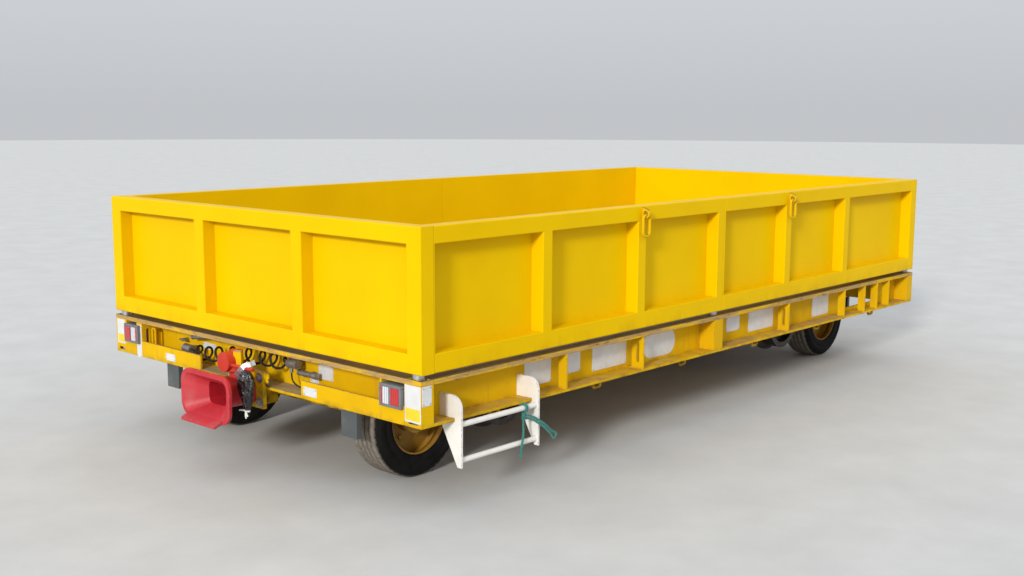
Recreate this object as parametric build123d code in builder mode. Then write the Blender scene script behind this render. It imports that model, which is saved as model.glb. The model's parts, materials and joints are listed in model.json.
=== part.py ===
from build123d import *
from math import radians, tan
import os

# Rail platform trolley: a flat platform on four rubber-tyred road wheels, with two lowering
# rail axles, an automatic coupling at each end and a lift-out load box of six boards.
# Millimetres. +X is the end with the coiled hose, +Y the side with the roped step, +Z up.
# The origin is on the ground under the middle of the platform.

os.makedirs("parts", exist_ok=True)

# Load box
BOX_LENGTH = 4960
BOX_WIDTH = 2560
BOARD_HEIGHT = 655
BOARD_THICKNESS = 80
PANEL_SHEET = 6
PANELS_PER_BOARD = 3
TOP_RAIL = 80
BOTTOM_RAIL = 88
MID_POST = 82
END_POST = 92
SIDE_POST = 70
POST_PITCH = 763
SEAM_AFTER_POST = 3
SEAM_GAP = 0.6
END_FLANGE = 8
BOARD_CHAMFER = 4
PANEL_CHAMFER = 3

# Platform frame
BEAM_DEPTH = 215
TYRE_HEADROOM = 27
BOARD_LIFT = 25
FLANGE_WIDTH = 110
TOP_FLANGE = 24
BOTTOM_FLANGE = 14
WEB = 10
DECK_SHEET = 8
HEADSTOCK_RECESS = 120
LIP_HEIGHT = 75
LIP_SHEET = 12
LIP_INNER = 430
LAMP_RIB_FROM_SIDE = 268
RIB_SHEET = 12
RIB_DEPTH = 50
RIB_FACE = 50
GRIP_FROM_RIB = 32
GRIP_BAR = 7
GRIP_WIDTH = 30
GRIP_RISE = 145
GRIP_STANDOFF = 60
LONGITUDINAL_Y = 400
LONGITUDINAL_WIDTH = 100
CROSS_DEPTH = 100
CROSS_WIDTH = 60
CROSS_TYRE_GAP = 103

# Stake pockets and pins
PIN_RADIUS = 29
PIN_CLEARANCE = 0.8
POCKET_WALL = 8
MID_POCKET_LENGTH = 90
DRAIN_WIDTH = 60
DRAIN_HEIGHT = 16

# Side details
RIBS_FROM_END = (995, 1039)
VENT_RIBS_FROM_END = (745, 556, 376)
LASHING_FROM_MID = (731, 809)
LASHING_DEPTH = 76
SLOT_WIDTH = 18
SLOT_HEIGHT = 112
SLOT_EDGE = 27
VENT_FROM_END = 420
VENT_LENGTH = 460
VENT_MARGIN = 24
HOOKS_FROM_END = (495, 575)
HOOK_COUNT = 6
HOOK_BAR = 8
HOOK_DROP = 36
HOOK_REACH = 58
HOOK_TIP = 22

# Lifting gear on the side boards
EAR_POSTS = (2, 4)
EAR_REACH = 48
EAR_HEIGHT = 64
EAR_SHEET = 16
EAR_HOLE = 14
LINK_BAR = 8
LINK_WIDTH = 74
LINK_LENGTH = 128

# Step
STEP_FROM_END = 206
STEP_LENGTH = 536
STEP_OVERHANG = 42
STEP_SHEET = 10
STEP_RISE = 106
STEP_SHOULDER = 60
STEP_DROP = 214
STEP_FOOT = 26
RUNG_RADIUS = 13
UPPER_RUNG_DROP = 15
LOWER_RUNG_DROP = 182
RUNG_INSET = 20

# Lamps
LAMP_FROM_SIDE = 186
LAMP_RISE = 125
LAMP_WIDTH = 140
LAMP_HEIGHT = 100
LAMP_DEPTH = 85
LENS_DEPTH = 14
LENS_RIM = 10

# Rail guards
GUARD_Y = 750
GUARD_WIDTH = 112
GUARD_DEPTH = 28
GUARD_DROP = 140
GUARD_SHEET = 6
GUARD_SETBACK = 30

# Coupling
MOUNT_WIDTH = 300
MOUNT_PLATE = 20
MOUNT_RISE = 90
MOUNT_FALL = 100
STUB_WIDTH = 140
THROAT_WIDTH = 150
THROAT_HEIGHT = 110
THROAT_BACK = 25
MOUTH_WIDTH = 370
MOUTH_HEIGHT = 200
COUPLING_FALL = 15
THROAT_REACH = 186
MOUTH_REACH = 262
THROAT_ROUND = 30
MOUTH_ROUND = 50
FUNNEL_WALL = 14
MOUTH_BEAD = 9
MOUTH_BEAD_WIDTH = 16
LOWER_LIP_WIDTH = 290
LOWER_LIP_REACH = 46
LOWER_LIP_FALL = 20
BOLT_REACH = 72
BOLT_RADIUS = 22
DRUM_RADIUS = 36
DRUM_RISE = 192
COLLAR_RADIUS = 66
COLLAR_RISE = 90
COLLAR_SHEET = 28
COVER_RADIUS = 50
COVER_RISE = 140
COVER_REACH = 78
LEVER_RADIUS = 9
LEVER_FORWARD = 60
LEVER_RISE = 130
LEVER_REACH = 225

# Road wheels
TYRE_RADIUS = 295
WHEEL_GAP = 5
TYRE_SECTION = 95
TYRE_WIDTH = 200
TYRE_OUTER_Y = 820
TYRE_SHOULDER = 26
RIM_INSET = 15
RIM_SHEET = 9
RIM_FLANGE = 14
RIM_FLANGE_WIDTH = 12
DISC_FROM_INNER = 70
DISC_SHEET = 14
HUB_RADIUS = 75
HUB_REACH = 70
SPINDLE_RADIUS = 32
BEARING_GAP = 0.5
SEAT_GAP = 0.3
AXLE_BEAM = 90
AXLE_BEAM_HALF = 540
HANGER_LENGTH = 170

# Rail gear
RAIL_SETBACK = 600
RAIL_AXLE_FALL = 80
RAIL_TREAD_RADIUS = 180
RAIL_FLANGE_RADIUS = 210
RAIL_BACK_Y = 680
RAIL_FLANGE_WIDTH = 32
RAIL_WHEEL_WIDTH = 135
RAIL_RIM = 36
RAIL_HUB_RADIUS = 90
RAIL_DISC = 30
RAIL_AXLE_RADIUS = 45
RAIL_ARM_LENGTH = 500
RAIL_PIVOT_FALL = 65
RAIL_PIVOT_RADIUS = 40
RAIL_BRACKET_WALL = 24
RAIL_ARM_Y = 585
RAIL_ARM_SHEET = 30
RAIL_ARM_RADIUS = 75
RAIL_TIE_RADIUS = 28

# Hose, lead and rope
COIL_RADIUS = 44
HOLDER_RADIUS = 24
HOLDER_LENGTH = 70
HOLDER_ARM = 20
PARKED_RADIUS = 14
PARKED_LENGTH = 136
PARKED_STANDOFF = 40
PARKED_RISE = 150
PARKED_Y = -555
PARKED_SLOPE = 0.138
TAP_STANDOFF = 36
TAP_RISE = 110
TAP_Y = -727
TAP_RADIUS = 9
TAP_HANDLE = 6
TAP_HANDLE_LENGTH = 52
KNOB_RADIUS = 13
KNOB_RISE = 156
KNOB_Y = -404
AIR_RISE = 84
LEAD_RADIUS = 4
GLAND_RADIUS = 9
PLUG_RADIUS = 13
PLUG_LENGTH = 46
ROPE_RADIUS = 6
KNOT_RADIUS = 22
BIGHT_RADIUS = 12

# Heights, planes and half sizes worked out from the sizes above
HALF_LENGTH = BOX_LENGTH / 2
HALF_WIDTH = BOX_WIDTH / 2
UNDER_DECK = 2 * TYRE_RADIUS + TYRE_HEADROOM
DECK_TOP = UNDER_DECK + DECK_SHEET
BEAM_BOTTOM = DECK_TOP - BEAM_DEPTH
BOARD_BOTTOM = DECK_TOP + BOARD_LIFT
BOARD_TOP = BOARD_BOTTOM + BOARD_HEIGHT
WEB_INNER_Y = HALF_WIDTH - FLANGE_WIDTH
WEB_OUTER_Y = WEB_INNER_Y + WEB
WEB_FRONT_X = HALF_LENGTH - HEADSTOCK_RECESS
WEB_BACK_X = WEB_FRONT_X - WEB
LEDGE_TOP = BEAM_BOTTOM + BOTTOM_FLANGE
UNDER_EDGE = DECK_TOP - TOP_FLANGE
WEB_HEIGHT = UNDER_EDGE - LEDGE_TOP
WEB_MIDDLE = (UNDER_EDGE + LEDGE_TOP) / 2
POCKET_LENGTH = 2 * (PIN_RADIUS + PIN_CLEARANCE + POCKET_WALL)
BEAM_END_X = HALF_LENGTH - POCKET_LENGTH
CHANNEL_DEPTH = HALF_WIDTH - WEB_OUTER_Y
CHANNEL_Y = (WEB_OUTER_Y + HALF_WIDTH) / 2
RIM_RADIUS = TYRE_RADIUS - TYRE_SECTION
AXLE_X = WEB_BACK_X - TYRE_RADIUS - WHEEL_GAP
RAIL_AXLE_X = AXLE_X - RAIL_SETBACK
RAIL_AXLE_Z = BEAM_BOTTOM - RAIL_AXLE_FALL
RAIL_PIVOT_X = RAIL_AXLE_X - RAIL_ARM_LENGTH
RAIL_PIVOT_Z = BEAM_BOTTOM - RAIL_PIVOT_FALL
SIDE_START = HALF_LENGTH - BOARD_THICKNESS - SEAM_GAP / 2
SIDE_LENGTH = 2 * SIDE_START
MID_X = SIDE_START - SEAM_AFTER_POST * POST_PITCH
HALF_TURN = (0, 0, 180)


def save(builder, name):
    builder.part.label = name
    export_step(builder.part, f"parts/{name}.step")


def turned_copy(builder, name):
    """The same piece at the other end, turned half round about the middle of the platform."""
    with BuildPart() as copy:
        add(builder.part, rotation=HALF_TURN)
    save(copy, name)


def board(name, frame, length, panels):
    """One board drawn upright on frame: x along it, y up, z outwards. Panels are spans along x."""
    panel_height = BOARD_HEIGHT - TOP_RAIL - BOTTOM_RAIL
    with BuildPart() as piece:
        with BuildSketch(frame):
            with Locations((length / 2, BOARD_HEIGHT / 2)):
                Rectangle(length, BOARD_HEIGHT)
        extrude(amount=-BOARD_THICKNESS)
        with BuildSketch(frame):
            for start, stop in panels:
                with Locations(((start + stop) / 2, BOTTOM_RAIL + panel_height / 2)):
                    Rectangle(stop - start, panel_height)
        extrude(amount=-(BOARD_THICKNESS - PANEL_SHEET), mode=Mode.SUBTRACT)
        outside = piece.faces().sort_by(Axis(frame.origin, frame.z_dir))[-1]
        rims = [edge for wire in outside.inner_wires() for edge in wire.edges()]
        chamfer(outside.outer_wire().edges(), BOARD_CHAMFER)
        chamfer(rims, PANEL_CHAMFER)
    save(piece, name)
    return piece


def cord_route(points):
    """Straight runs joined by the largest tangent arcs that they leave room for."""
    spots = [Vector(*point) for point in points]
    radii = []
    for before, corner, after in zip(spots, spots[1:], spots[2:]):
        run_in = corner - before
        run_out = after - corner
        half_turn = radians(run_in.get_angle(run_out)) / 2
        radii.append(0.45 * min(run_in.length, run_out.length) / tan(half_turn))
    return spots, radii


def cord_tube(name, points, radius):
    spots, radii = cord_route(points)
    with BuildPart() as tube:
        with BuildLine() as path:
            FilletPolyline(*spots, radius=radii)
        with BuildSketch(Plane(origin=spots[0], z_dir=spots[1] - spots[0])):
            Circle(radius)
        sweep(path=path.line)
    save(tube, name)
    length = sum(edge.length for edge in path.edges())
    print(name, "length", round(length), "radii", [round(r) for r in radii])


# End boards, full width, with equal panels
END_CLEAR = BOX_WIDTH - 2 * END_POST - (PANELS_PER_BOARD - 1) * MID_POST
END_PANEL = END_CLEAR / PANELS_PER_BOARD
END_PANELS = []
for index in range(PANELS_PER_BOARD):
    panel_start = END_POST + index * (END_PANEL + MID_POST)
    END_PANELS.append((panel_start, panel_start + END_PANEL))
front_face = Plane(origin=(HALF_LENGTH, -HALF_WIDTH, BOARD_BOTTOM), x_dir=(0, 1, 0), z_dir=(1, 0, 0))
end_board = board("end_board_front", front_face, BOX_WIDTH, END_PANELS)
turned_copy(end_board, "end_board_rear")

# Side boards, two to a side between the end boards. Posts stand at an even pitch from the front
# end, and the boards meet at a seam just behind the third one. Spans run along the side.
POST_PLACES = [index * POST_PITCH for index in range(1, int(SIDE_LENGTH // POST_PITCH))]
SEAM = SEAM_AFTER_POST * POST_PITCH + SIDE_POST / 2
SIDE_BOARDS = (
    # name, start of its span, end of its span, name of its turned copy
    ("side_board_left_front", 0, SEAM - SEAM_GAP / 2, "side_board_right_rear"),
    ("side_board_left_rear", SEAM + SEAM_GAP / 2, SIDE_LENGTH, "side_board_right_front"),
)
for name, span_start, span_end, copy_name in SIDE_BOARDS:
    panels = []
    panel_start = END_FLANGE
    for place in POST_PLACES:
        if span_start < place < span_end:
            panels.append((panel_start, place - SIDE_POST / 2 - span_start))
            panel_start = place + SIDE_POST / 2 - span_start
    panel_end = span_end - span_start - END_FLANGE
    if panel_end > panel_start:
        panels.append((panel_start, panel_end))
    side_face = Plane(
        origin=(SIDE_START - span_start, HALF_WIDTH, BOARD_BOTTOM),
        x_dir=(-1, 0, 0),
        z_dir=(0, 1, 0),
    )
    side_board = board(name, side_face, span_end - span_start, panels)
    turned_copy(side_board, copy_name)

# Side beams: outward channels with a hole for the mid pin and an opening near one end
with BuildPart() as side_beam_left:
    with BuildSketch(Plane.YZ.offset(-BEAM_END_X)):
        with BuildLine():
            Polyline(
                (WEB_INNER_Y, BEAM_BOTTOM),
                (HALF_WIDTH, BEAM_BOTTOM),
                (HALF_WIDTH, LEDGE_TOP),
                (WEB_OUTER_Y, LEDGE_TOP),
                (WEB_OUTER_Y, UNDER_EDGE),
                (HALF_WIDTH, UNDER_EDGE),
                (HALF_WIDTH, DECK_TOP),
                (WEB_INNER_Y, DECK_TOP),
                close=True,
            )
        make_face()
    extrude(amount=2 * BEAM_END_X)
    with BuildSketch(Plane.XZ.offset(-WEB_OUTER_Y)):
        with Locations((VENT_LENGTH / 2 + VENT_FROM_END - HALF_LENGTH, WEB_MIDDLE)):
            Rectangle(VENT_LENGTH, WEB_HEIGHT - 2 * VENT_MARGIN)
    extrude(amount=WEB, mode=Mode.SUBTRACT)
    with BuildSketch(Plane.XY.offset(UNDER_EDGE)):
        with Locations((MID_X, CHANNEL_Y)):
            Circle(PIN_RADIUS + PIN_CLEARANCE)
    extrude(amount=TOP_FLANGE, mode=Mode.SUBTRACT)
save(side_beam_left, "side_beam_left")
turned_copy(side_beam_left, "side_beam_right")

# Headstocks: recessed channel with a lip each side of the coupling and a plain rib by one lamp
LAMP_RIB_Y = HALF_WIDTH - LAMP_RIB_FROM_SIDE
with BuildPart() as headstock_front:
    with BuildSketch(Plane.XZ):
        with BuildLine():
            Polyline(
                (WEB_BACK_X, BEAM_BOTTOM),
                (HALF_LENGTH, BEAM_BOTTOM),
                (HALF_LENGTH, LEDGE_TOP),
                (WEB_FRONT_X, LEDGE_TOP),
                (WEB_FRONT_X, UNDER_EDGE),
                (HALF_LENGTH, UNDER_EDGE),
                (HALF_LENGTH, DECK_TOP),
                (WEB_BACK_X, DECK_TOP),
                close=True,
            )
        make_face()
    extrude(amount=WEB_INNER_Y, both=True)
    with BuildSketch(Plane.YZ.offset(HALF_LENGTH - LIP_SHEET)):
        for side in (1, -1):
            with Locations((side * (LIP_INNER + WEB_INNER_Y) / 2, LEDGE_TOP + LIP_HEIGHT / 2)):
                Rectangle(WEB_INNER_Y - LIP_INNER, LIP_HEIGHT)
    extrude(amount=LIP_SHEET)
    with BuildSketch(Plane.YZ.offset(WEB_FRONT_X)):
        with Locations((LAMP_RIB_Y, WEB_MIDDLE)):
            Rectangle(RIB_SHEET, WEB_HEIGHT)
    extrude(amount=HEADSTOCK_RECESS)
save(headstock_front, "headstock_front")
turned_copy(headstock_front, "headstock_rear")

# Web grips: an upright hoop on each headstock's ledge, beside the slotted rib
GRIP_Y = GRIP_FROM_RIB - LAMP_RIB_Y
GRIP_X = WEB_FRONT_X + GRIP_STANDOFF
with BuildPart() as web_grips:
    with BuildLine() as hoop:
        FilletPolyline(
            (GRIP_X, GRIP_Y - GRIP_WIDTH / 2, LEDGE_TOP),
            (GRIP_X, GRIP_Y - GRIP_WIDTH / 2, LEDGE_TOP + GRIP_RISE),
            (GRIP_X, GRIP_Y + GRIP_WIDTH / 2, LEDGE_TOP + GRIP_RISE),
            (GRIP_X, GRIP_Y + GRIP_WIDTH / 2, LEDGE_TOP),
            radius=0.45 * GRIP_WIDTH,
        )
    with BuildSketch(Plane(origin=hoop.line @ 0, z_dir=hoop.line % 0)):
        Circle(GRIP_BAR)
    sweep(path=hoop.line)
    add(web_grips.part, rotation=HALF_TURN)
save(web_grips, "web_grips")

# Inner longitudinals: two flanged beams from headstock to headstock
with BuildPart() as inner_longitudinals:
    with BuildSketch(Plane.YZ.offset(-WEB_BACK_X)):
        for side in (1, -1):
            with Locations((side * LONGITUDINAL_Y, (BEAM_BOTTOM + UNDER_DECK) / 2)):
                Rectangle(WEB, UNDER_DECK - BEAM_BOTTOM)
            with Locations((side * LONGITUDINAL_Y, BEAM_BOTTOM + BOTTOM_FLANGE / 2)):
                Rectangle(LONGITUDINAL_WIDTH, BOTTOM_FLANGE)
            with Locations((side * LONGITUDINAL_Y, UNDER_DECK - BOTTOM_FLANGE / 2)):
                Rectangle(LONGITUDINAL_WIDTH, BOTTOM_FLANGE)
    extrude(amount=2 * WEB_BACK_X)
save(inner_longitudinals, "inner_longitudinals")

# Cross members: flanged bearers under the deck, in three lengths between the beams
LONGITUDINAL_IN = LONGITUDINAL_Y - LONGITUDINAL_WIDTH / 2
LONGITUDINAL_OUT = LONGITUDINAL_Y + LONGITUDINAL_WIDTH / 2
CROSS_SPANS = (
    # from y, to y
    (-WEB_INNER_Y, -LONGITUDINAL_OUT),
    (-LONGITUDINAL_IN, LONGITUDINAL_IN),
    (LONGITUDINAL_OUT, WEB_INNER_Y),
)
CROSS_PITCH = (AXLE_X - TYRE_RADIUS - CROSS_TYRE_GAP) / 2
with BuildPart() as cross_members:
    for start, stop in CROSS_SPANS:
        with BuildSketch(Plane.XZ.offset(-stop)):
            with GridLocations(CROSS_PITCH, 1, 5, 1):
                with Locations((0, UNDER_DECK - CROSS_DEPTH / 2)):
                    Rectangle(WEB, CROSS_DEPTH)
                with Locations((0, UNDER_DECK - WEB / 2), (0, UNDER_DECK - CROSS_DEPTH + WEB / 2)):
                    Rectangle(CROSS_WIDTH, WEB)
        extrude(amount=stop - start)
save(cross_members, "cross_members")

# Deck plate, flush with the frame's top flanges
with BuildPart() as deck_plate:
    with BuildSketch(Plane.XY.offset(UNDER_DECK)):
        Rectangle(2 * WEB_BACK_X, 2 * WEB_INNER_Y)
    extrude(amount=DECK_SHEET)
save(deck_plate, "deck_plate")

# Corner pockets: open-topped sockets with a floor and a drain slot, closing the frame's corners
CORNER_PITCH_X = BOX_LENGTH - POCKET_LENGTH
CORNER_PITCH_Y = BOX_WIDTH - FLANGE_WIDTH
with BuildPart() as corner_pockets:
    with BuildSketch(Plane.XY.offset(BEAM_BOTTOM)):
        with GridLocations(CORNER_PITCH_X, CORNER_PITCH_Y, 2, 2):
            Rectangle(POCKET_LENGTH, FLANGE_WIDTH)
    extrude(amount=BEAM_DEPTH)
    with BuildSketch(Plane.XY.offset(DECK_TOP)):
        with GridLocations(CORNER_PITCH_X, CORNER_PITCH_Y, 2, 2):
            Rectangle(POCKET_LENGTH - 2 * POCKET_WALL, FLANGE_WIDTH - 2 * POCKET_WALL)
    extrude(amount=-(BEAM_DEPTH - POCKET_WALL), mode=Mode.SUBTRACT)
    for wall_x in (HALF_LENGTH - POCKET_WALL, -HALF_LENGTH):
        with BuildSketch(Plane.YZ.offset(wall_x)):
            with GridLocations(CORNER_PITCH_Y, 1, 2, 1):
                with Locations((0, LEDGE_TOP + DRAIN_HEIGHT / 2)):
                    Rectangle(DRAIN_WIDTH, DRAIN_HEIGHT)
        extrude(amount=POCKET_WALL, mode=Mode.SUBTRACT)
save(corner_pockets, "corner_pockets")

# Mid pockets: sockets between the flanges of the side beams, under the seam of the boards
with BuildPart() as mid_pockets:
    with BuildSketch(Plane.XY.offset(LEDGE_TOP)):
        with Locations((MID_X, CHANNEL_Y), (-MID_X, -CHANNEL_Y)):
            Rectangle(MID_POCKET_LENGTH, CHANNEL_DEPTH)
            Rectangle(
                MID_POCKET_LENGTH - 2 * POCKET_WALL,
                CHANNEL_DEPTH - 2 * POCKET_WALL,
                mode=Mode.SUBTRACT,
            )
    extrude(amount=WEB_HEIGHT)
save(mid_pockets, "mid_pockets")

# Stake pins: galvanised bars that stand in the pockets and carry the boards
with BuildPart() as stake_pins:
    with BuildSketch(Plane.XY.offset(BEAM_BOTTOM + POCKET_WALL)):
        with GridLocations(CORNER_PITCH_X, CORNER_PITCH_Y, 2, 2):
            Circle(PIN_RADIUS)
    extrude(amount=BOARD_BOTTOM - BEAM_BOTTOM - POCKET_WALL)
    with BuildSketch(Plane.XY.offset(LEDGE_TOP)):
        with Locations((MID_X, CHANNEL_Y), (-MID_X, -CHANNEL_Y)):
            Circle(PIN_RADIUS)
    extrude(amount=BOARD_BOTTOM - LEDGE_TOP)
save(stake_pins, "stake_pins")

# Side ribs: flat bars between the edges of the side beams' flanges
FRONT_RIB, REAR_RIB = RIBS_FROM_END
RIB_PLACES = [HALF_LENGTH - FRONT_RIB, REAR_RIB - HALF_LENGTH]
RIB_PLACES += [place - HALF_LENGTH for place in VENT_RIBS_FROM_END]
with BuildPart() as side_ribs:
    with BuildSketch(Plane.XY.offset(LEDGE_TOP)):
        for x in RIB_PLACES:
            with Locations((x, HALF_WIDTH - RIB_DEPTH / 2)):
                Rectangle(RIB_SHEET, RIB_DEPTH)
    extrude(amount=WEB_HEIGHT)
    add(side_ribs.part, rotation=HALF_TURN)
save(side_ribs, "side_ribs")

# Lashing ribs: deeper bars with an upright slot for a strap hook, two on each side beam, and one
# with a front face on each headstock
FRONT_LASHING, REAR_LASHING = LASHING_FROM_MID
LASHING_PLACES = (MID_X + FRONT_LASHING, MID_X - REAR_LASHING)
SLOT_Y = HALF_WIDTH - SLOT_EDGE - SLOT_WIDTH / 2
with BuildPart() as lashing_plates:
    for x in LASHING_PLACES:
        with BuildSketch(Plane.YZ.offset(x - RIB_SHEET / 2)):
            with Locations((HALF_WIDTH - LASHING_DEPTH / 2, WEB_MIDDLE)):
                Rectangle(LASHING_DEPTH, WEB_HEIGHT)
            with Locations((SLOT_Y, WEB_MIDDLE)):
                SlotOverall(SLOT_HEIGHT, SLOT_WIDTH, rotation=90, mode=Mode.SUBTRACT)
        extrude(amount=RIB_SHEET)
    with BuildSketch(Plane.XZ.offset(LAMP_RIB_Y - RIB_SHEET / 2)):
        with BuildLine():
            Polyline(
                (WEB_FRONT_X, LEDGE_TOP),
                (HALF_LENGTH - LIP_SHEET, LEDGE_TOP),
                (HALF_LENGTH - LIP_SHEET, LEDGE_TOP + LIP_HEIGHT),
                (HALF_LENGTH, LEDGE_TOP + LIP_HEIGHT),
                (HALF_LENGTH, UNDER_EDGE),
                (WEB_FRONT_X, UNDER_EDGE),
                close=True,
            )
        make_face()
        with Locations((HALF_LENGTH - SLOT_EDGE - SLOT_WIDTH / 2, WEB_MIDDLE)):
            SlotOverall(SLOT_HEIGHT, SLOT_WIDTH, rotation=90, mode=Mode.SUBTRACT)
    extrude(amount=RIB_SHEET)
    with BuildSketch(Plane.YZ.offset(HALF_LENGTH - RIB_SHEET)):
        with Locations((-LAMP_RIB_Y - RIB_FACE / 2, WEB_MIDDLE + LIP_HEIGHT / 2)):
            Rectangle(RIB_FACE, WEB_HEIGHT - LIP_HEIGHT)
    extrude(amount=RIB_SHEET)
    add(lashing_plates.part, rotation=HALF_TURN)
save(lashing_plates, "lashing_plates")

# Lashing hooks: round bars hung under the bottom flange, turned up at the tip
HOOK_Y = HALF_WIDTH - FLANGE_WIDTH / 2
FRONT_HOOK, REAR_HOOK = HOOKS_FROM_END
HOOK_PITCH = (BOX_LENGTH - FRONT_HOOK - REAR_HOOK) / (HOOK_COUNT - 1)
with BuildPart() as lashing_hooks:
    for index in range(HOOK_COUNT):
        x = HALF_LENGTH - FRONT_HOOK - index * HOOK_PITCH
        low = BEAM_BOTTOM - HOOK_DROP
        with BuildLine() as hook_path:
            FilletPolyline(
                (x, HOOK_Y, BEAM_BOTTOM),
                (x, HOOK_Y, low),
                (x - HOOK_REACH, HOOK_Y, low),
                (x - HOOK_REACH, HOOK_Y, low + HOOK_TIP),
                radius=1.4 * HOOK_BAR,
            )
        with BuildSketch(Plane(origin=(x, HOOK_Y, BEAM_BOTTOM), z_dir=(0, 0, -1))):
            Circle(HOOK_BAR)
        sweep(path=hook_path.line)
    add(lashing_hooks.part, rotation=HALF_TURN)
save(lashing_hooks, "lashing_hooks")

# Lifting ears: bored lugs on the outside of the side boards' top rails
EAR_Y = HALF_WIDTH + EAR_REACH / 2
EAR_Z = BOARD_TOP - TOP_RAIL / 2
EAR_PLACES = [SIDE_START - post * POST_PITCH for post in EAR_POSTS]
with BuildPart() as lifting_ears:
    for x in EAR_PLACES:
        with BuildSketch(Plane.YZ.offset(x - EAR_SHEET / 2)):
            with BuildLine():
                Polyline(
                    (HALF_WIDTH, EAR_Z - EAR_HEIGHT / 2),
                    (EAR_Y, EAR_Z - EAR_HEIGHT / 2 + EAR_REACH / 8),
                    (EAR_Y, EAR_Z + EAR_HEIGHT / 2 - EAR_REACH / 8),
                    (HALF_WIDTH, EAR_Z + EAR_HEIGHT / 2),
                    close=True,
                )
            make_face()
            with Locations((EAR_Y, EAR_Z)):
                Circle(EAR_REACH / 2)
                Circle(EAR_HOLE, mode=Mode.SUBTRACT)
        extrude(amount=EAR_SHEET)
    add(lifting_ears.part, rotation=HALF_TURN)
save(lifting_ears, "lifting_ears")

# Lifting links: long rings that hang in the ears
LINK_TOP = EAR_Z - EAR_HOLE + LINK_BAR + SEAT_GAP
LINK_HALF = (LINK_WIDTH - 2 * LINK_BAR) / 2
with BuildPart() as lifting_links:
    for x in EAR_PLACES:
        low = LINK_TOP - LINK_LENGTH + 2 * LINK_BAR
        with BuildLine() as ring:
            FilletPolyline(
                (x + LINK_HALF, EAR_Y, LINK_TOP),
                (x + LINK_HALF, EAR_Y, low),
                (x - LINK_HALF, EAR_Y, low),
                (x - LINK_HALF, EAR_Y, LINK_TOP),
                radius=0.8 * LINK_HALF,
                close=True,
            )
        with BuildSketch(Plane(origin=ring.line @ 0, z_dir=ring.line % 0)):
            Circle(LINK_BAR)
        sweep(path=ring.line)
    add(lifting_links.part, rotation=HALF_TURN)
save(lifting_links, "lifting_links")

# Steps: two plates slotted over the ledge, joined by two rungs
STEP_FRONT_X = HALF_LENGTH - STEP_FROM_END
STEP_REAR_X = STEP_FRONT_X - STEP_LENGTH
STEP_TOP = LEDGE_TOP + STEP_RISE
STEP_BOTTOM = BEAM_BOTTOM - STEP_DROP
UPPER_RUNG_Z = BEAM_BOTTOM - UPPER_RUNG_DROP
LOWER_RUNG_Z = BEAM_BOTTOM - LOWER_RUNG_DROP
STEP_Y = HALF_WIDTH + STEP_OVERHANG
RUNG_Y = STEP_Y - RUNG_INSET
with BuildPart() as step_left:
    for x in (STEP_FRONT_X - STEP_SHEET, STEP_REAR_X):
        with BuildSketch(Plane.YZ.offset(x)) as plate:
            with BuildLine():
                Polyline(
                    (WEB_OUTER_Y, LEDGE_TOP),
                    (WEB_OUTER_Y, STEP_TOP),
                    (STEP_Y, STEP_TOP),
                    (STEP_Y, STEP_BOTTOM),
                    (STEP_Y - STEP_FOOT, STEP_BOTTOM),
                    (WEB_OUTER_Y, BEAM_BOTTOM),
                    (HALF_WIDTH, BEAM_BOTTOM),
                    (HALF_WIDTH, LEDGE_TOP),
                    close=True,
                )
            make_face()
            outer_corner = plate.vertices().sort_by(lambda corner: corner.X + corner.Y)[-1]
            fillet(outer_corner, STEP_SHOULDER)
        extrude(amount=STEP_SHEET)
    with BuildSketch(Plane.YZ.offset(STEP_REAR_X)):
        with Locations((RUNG_Y, UPPER_RUNG_Z), (RUNG_Y, LOWER_RUNG_Z)):
            Circle(RUNG_RADIUS)
    extrude(amount=STEP_FRONT_X - STEP_REAR_X)
save(step_left, "step_left")
turned_copy(step_left, "step_right")

# Lamps: a housing on the headstock web, a red lens outboard and a clear one inboard
LAMP_Y = HALF_WIDTH - LAMP_FROM_SIDE
LAMP_Z = BEAM_BOTTOM + LAMP_RISE
LAMP_FACE_X = WEB_FRONT_X + LAMP_DEPTH
LENS_WIDTH = (LAMP_WIDTH - 3 * LENS_RIM) / 2
LENS_HEIGHT = LAMP_HEIGHT - 2 * LENS_RIM
LENS_SHIFT = (LENS_WIDTH + LENS_RIM) / 2
with BuildPart() as lamp_housings:
    with BuildSketch(Plane.YZ.offset(WEB_FRONT_X)):
        with Locations((LAMP_Y, LAMP_Z), (-LAMP_Y, LAMP_Z)):
            RectangleRounded(LAMP_WIDTH, LAMP_HEIGHT, LENS_RIM)
    extrude(amount=LAMP_DEPTH)
    add(lamp_housings.part, rotation=HALF_TURN)
save(lamp_housings, "lamp_housings")
for name, shift in (("lamp_red_lenses", LENS_SHIFT), ("lamp_clear_lenses", -LENS_SHIFT)):
    with BuildPart() as lenses:
        with BuildSketch(Plane.YZ.offset(LAMP_FACE_X)):
            with Locations((LAMP_Y + shift, LAMP_Z), (-LAMP_Y - shift, LAMP_Z)):
                RectangleRounded(LENS_WIDTH, LENS_HEIGHT, LENS_RIM / 2)
        extrude(amount=LENS_DEPTH)
        add(lenses.part, rotation=HALF_TURN)
    save(lenses, name)

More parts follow.
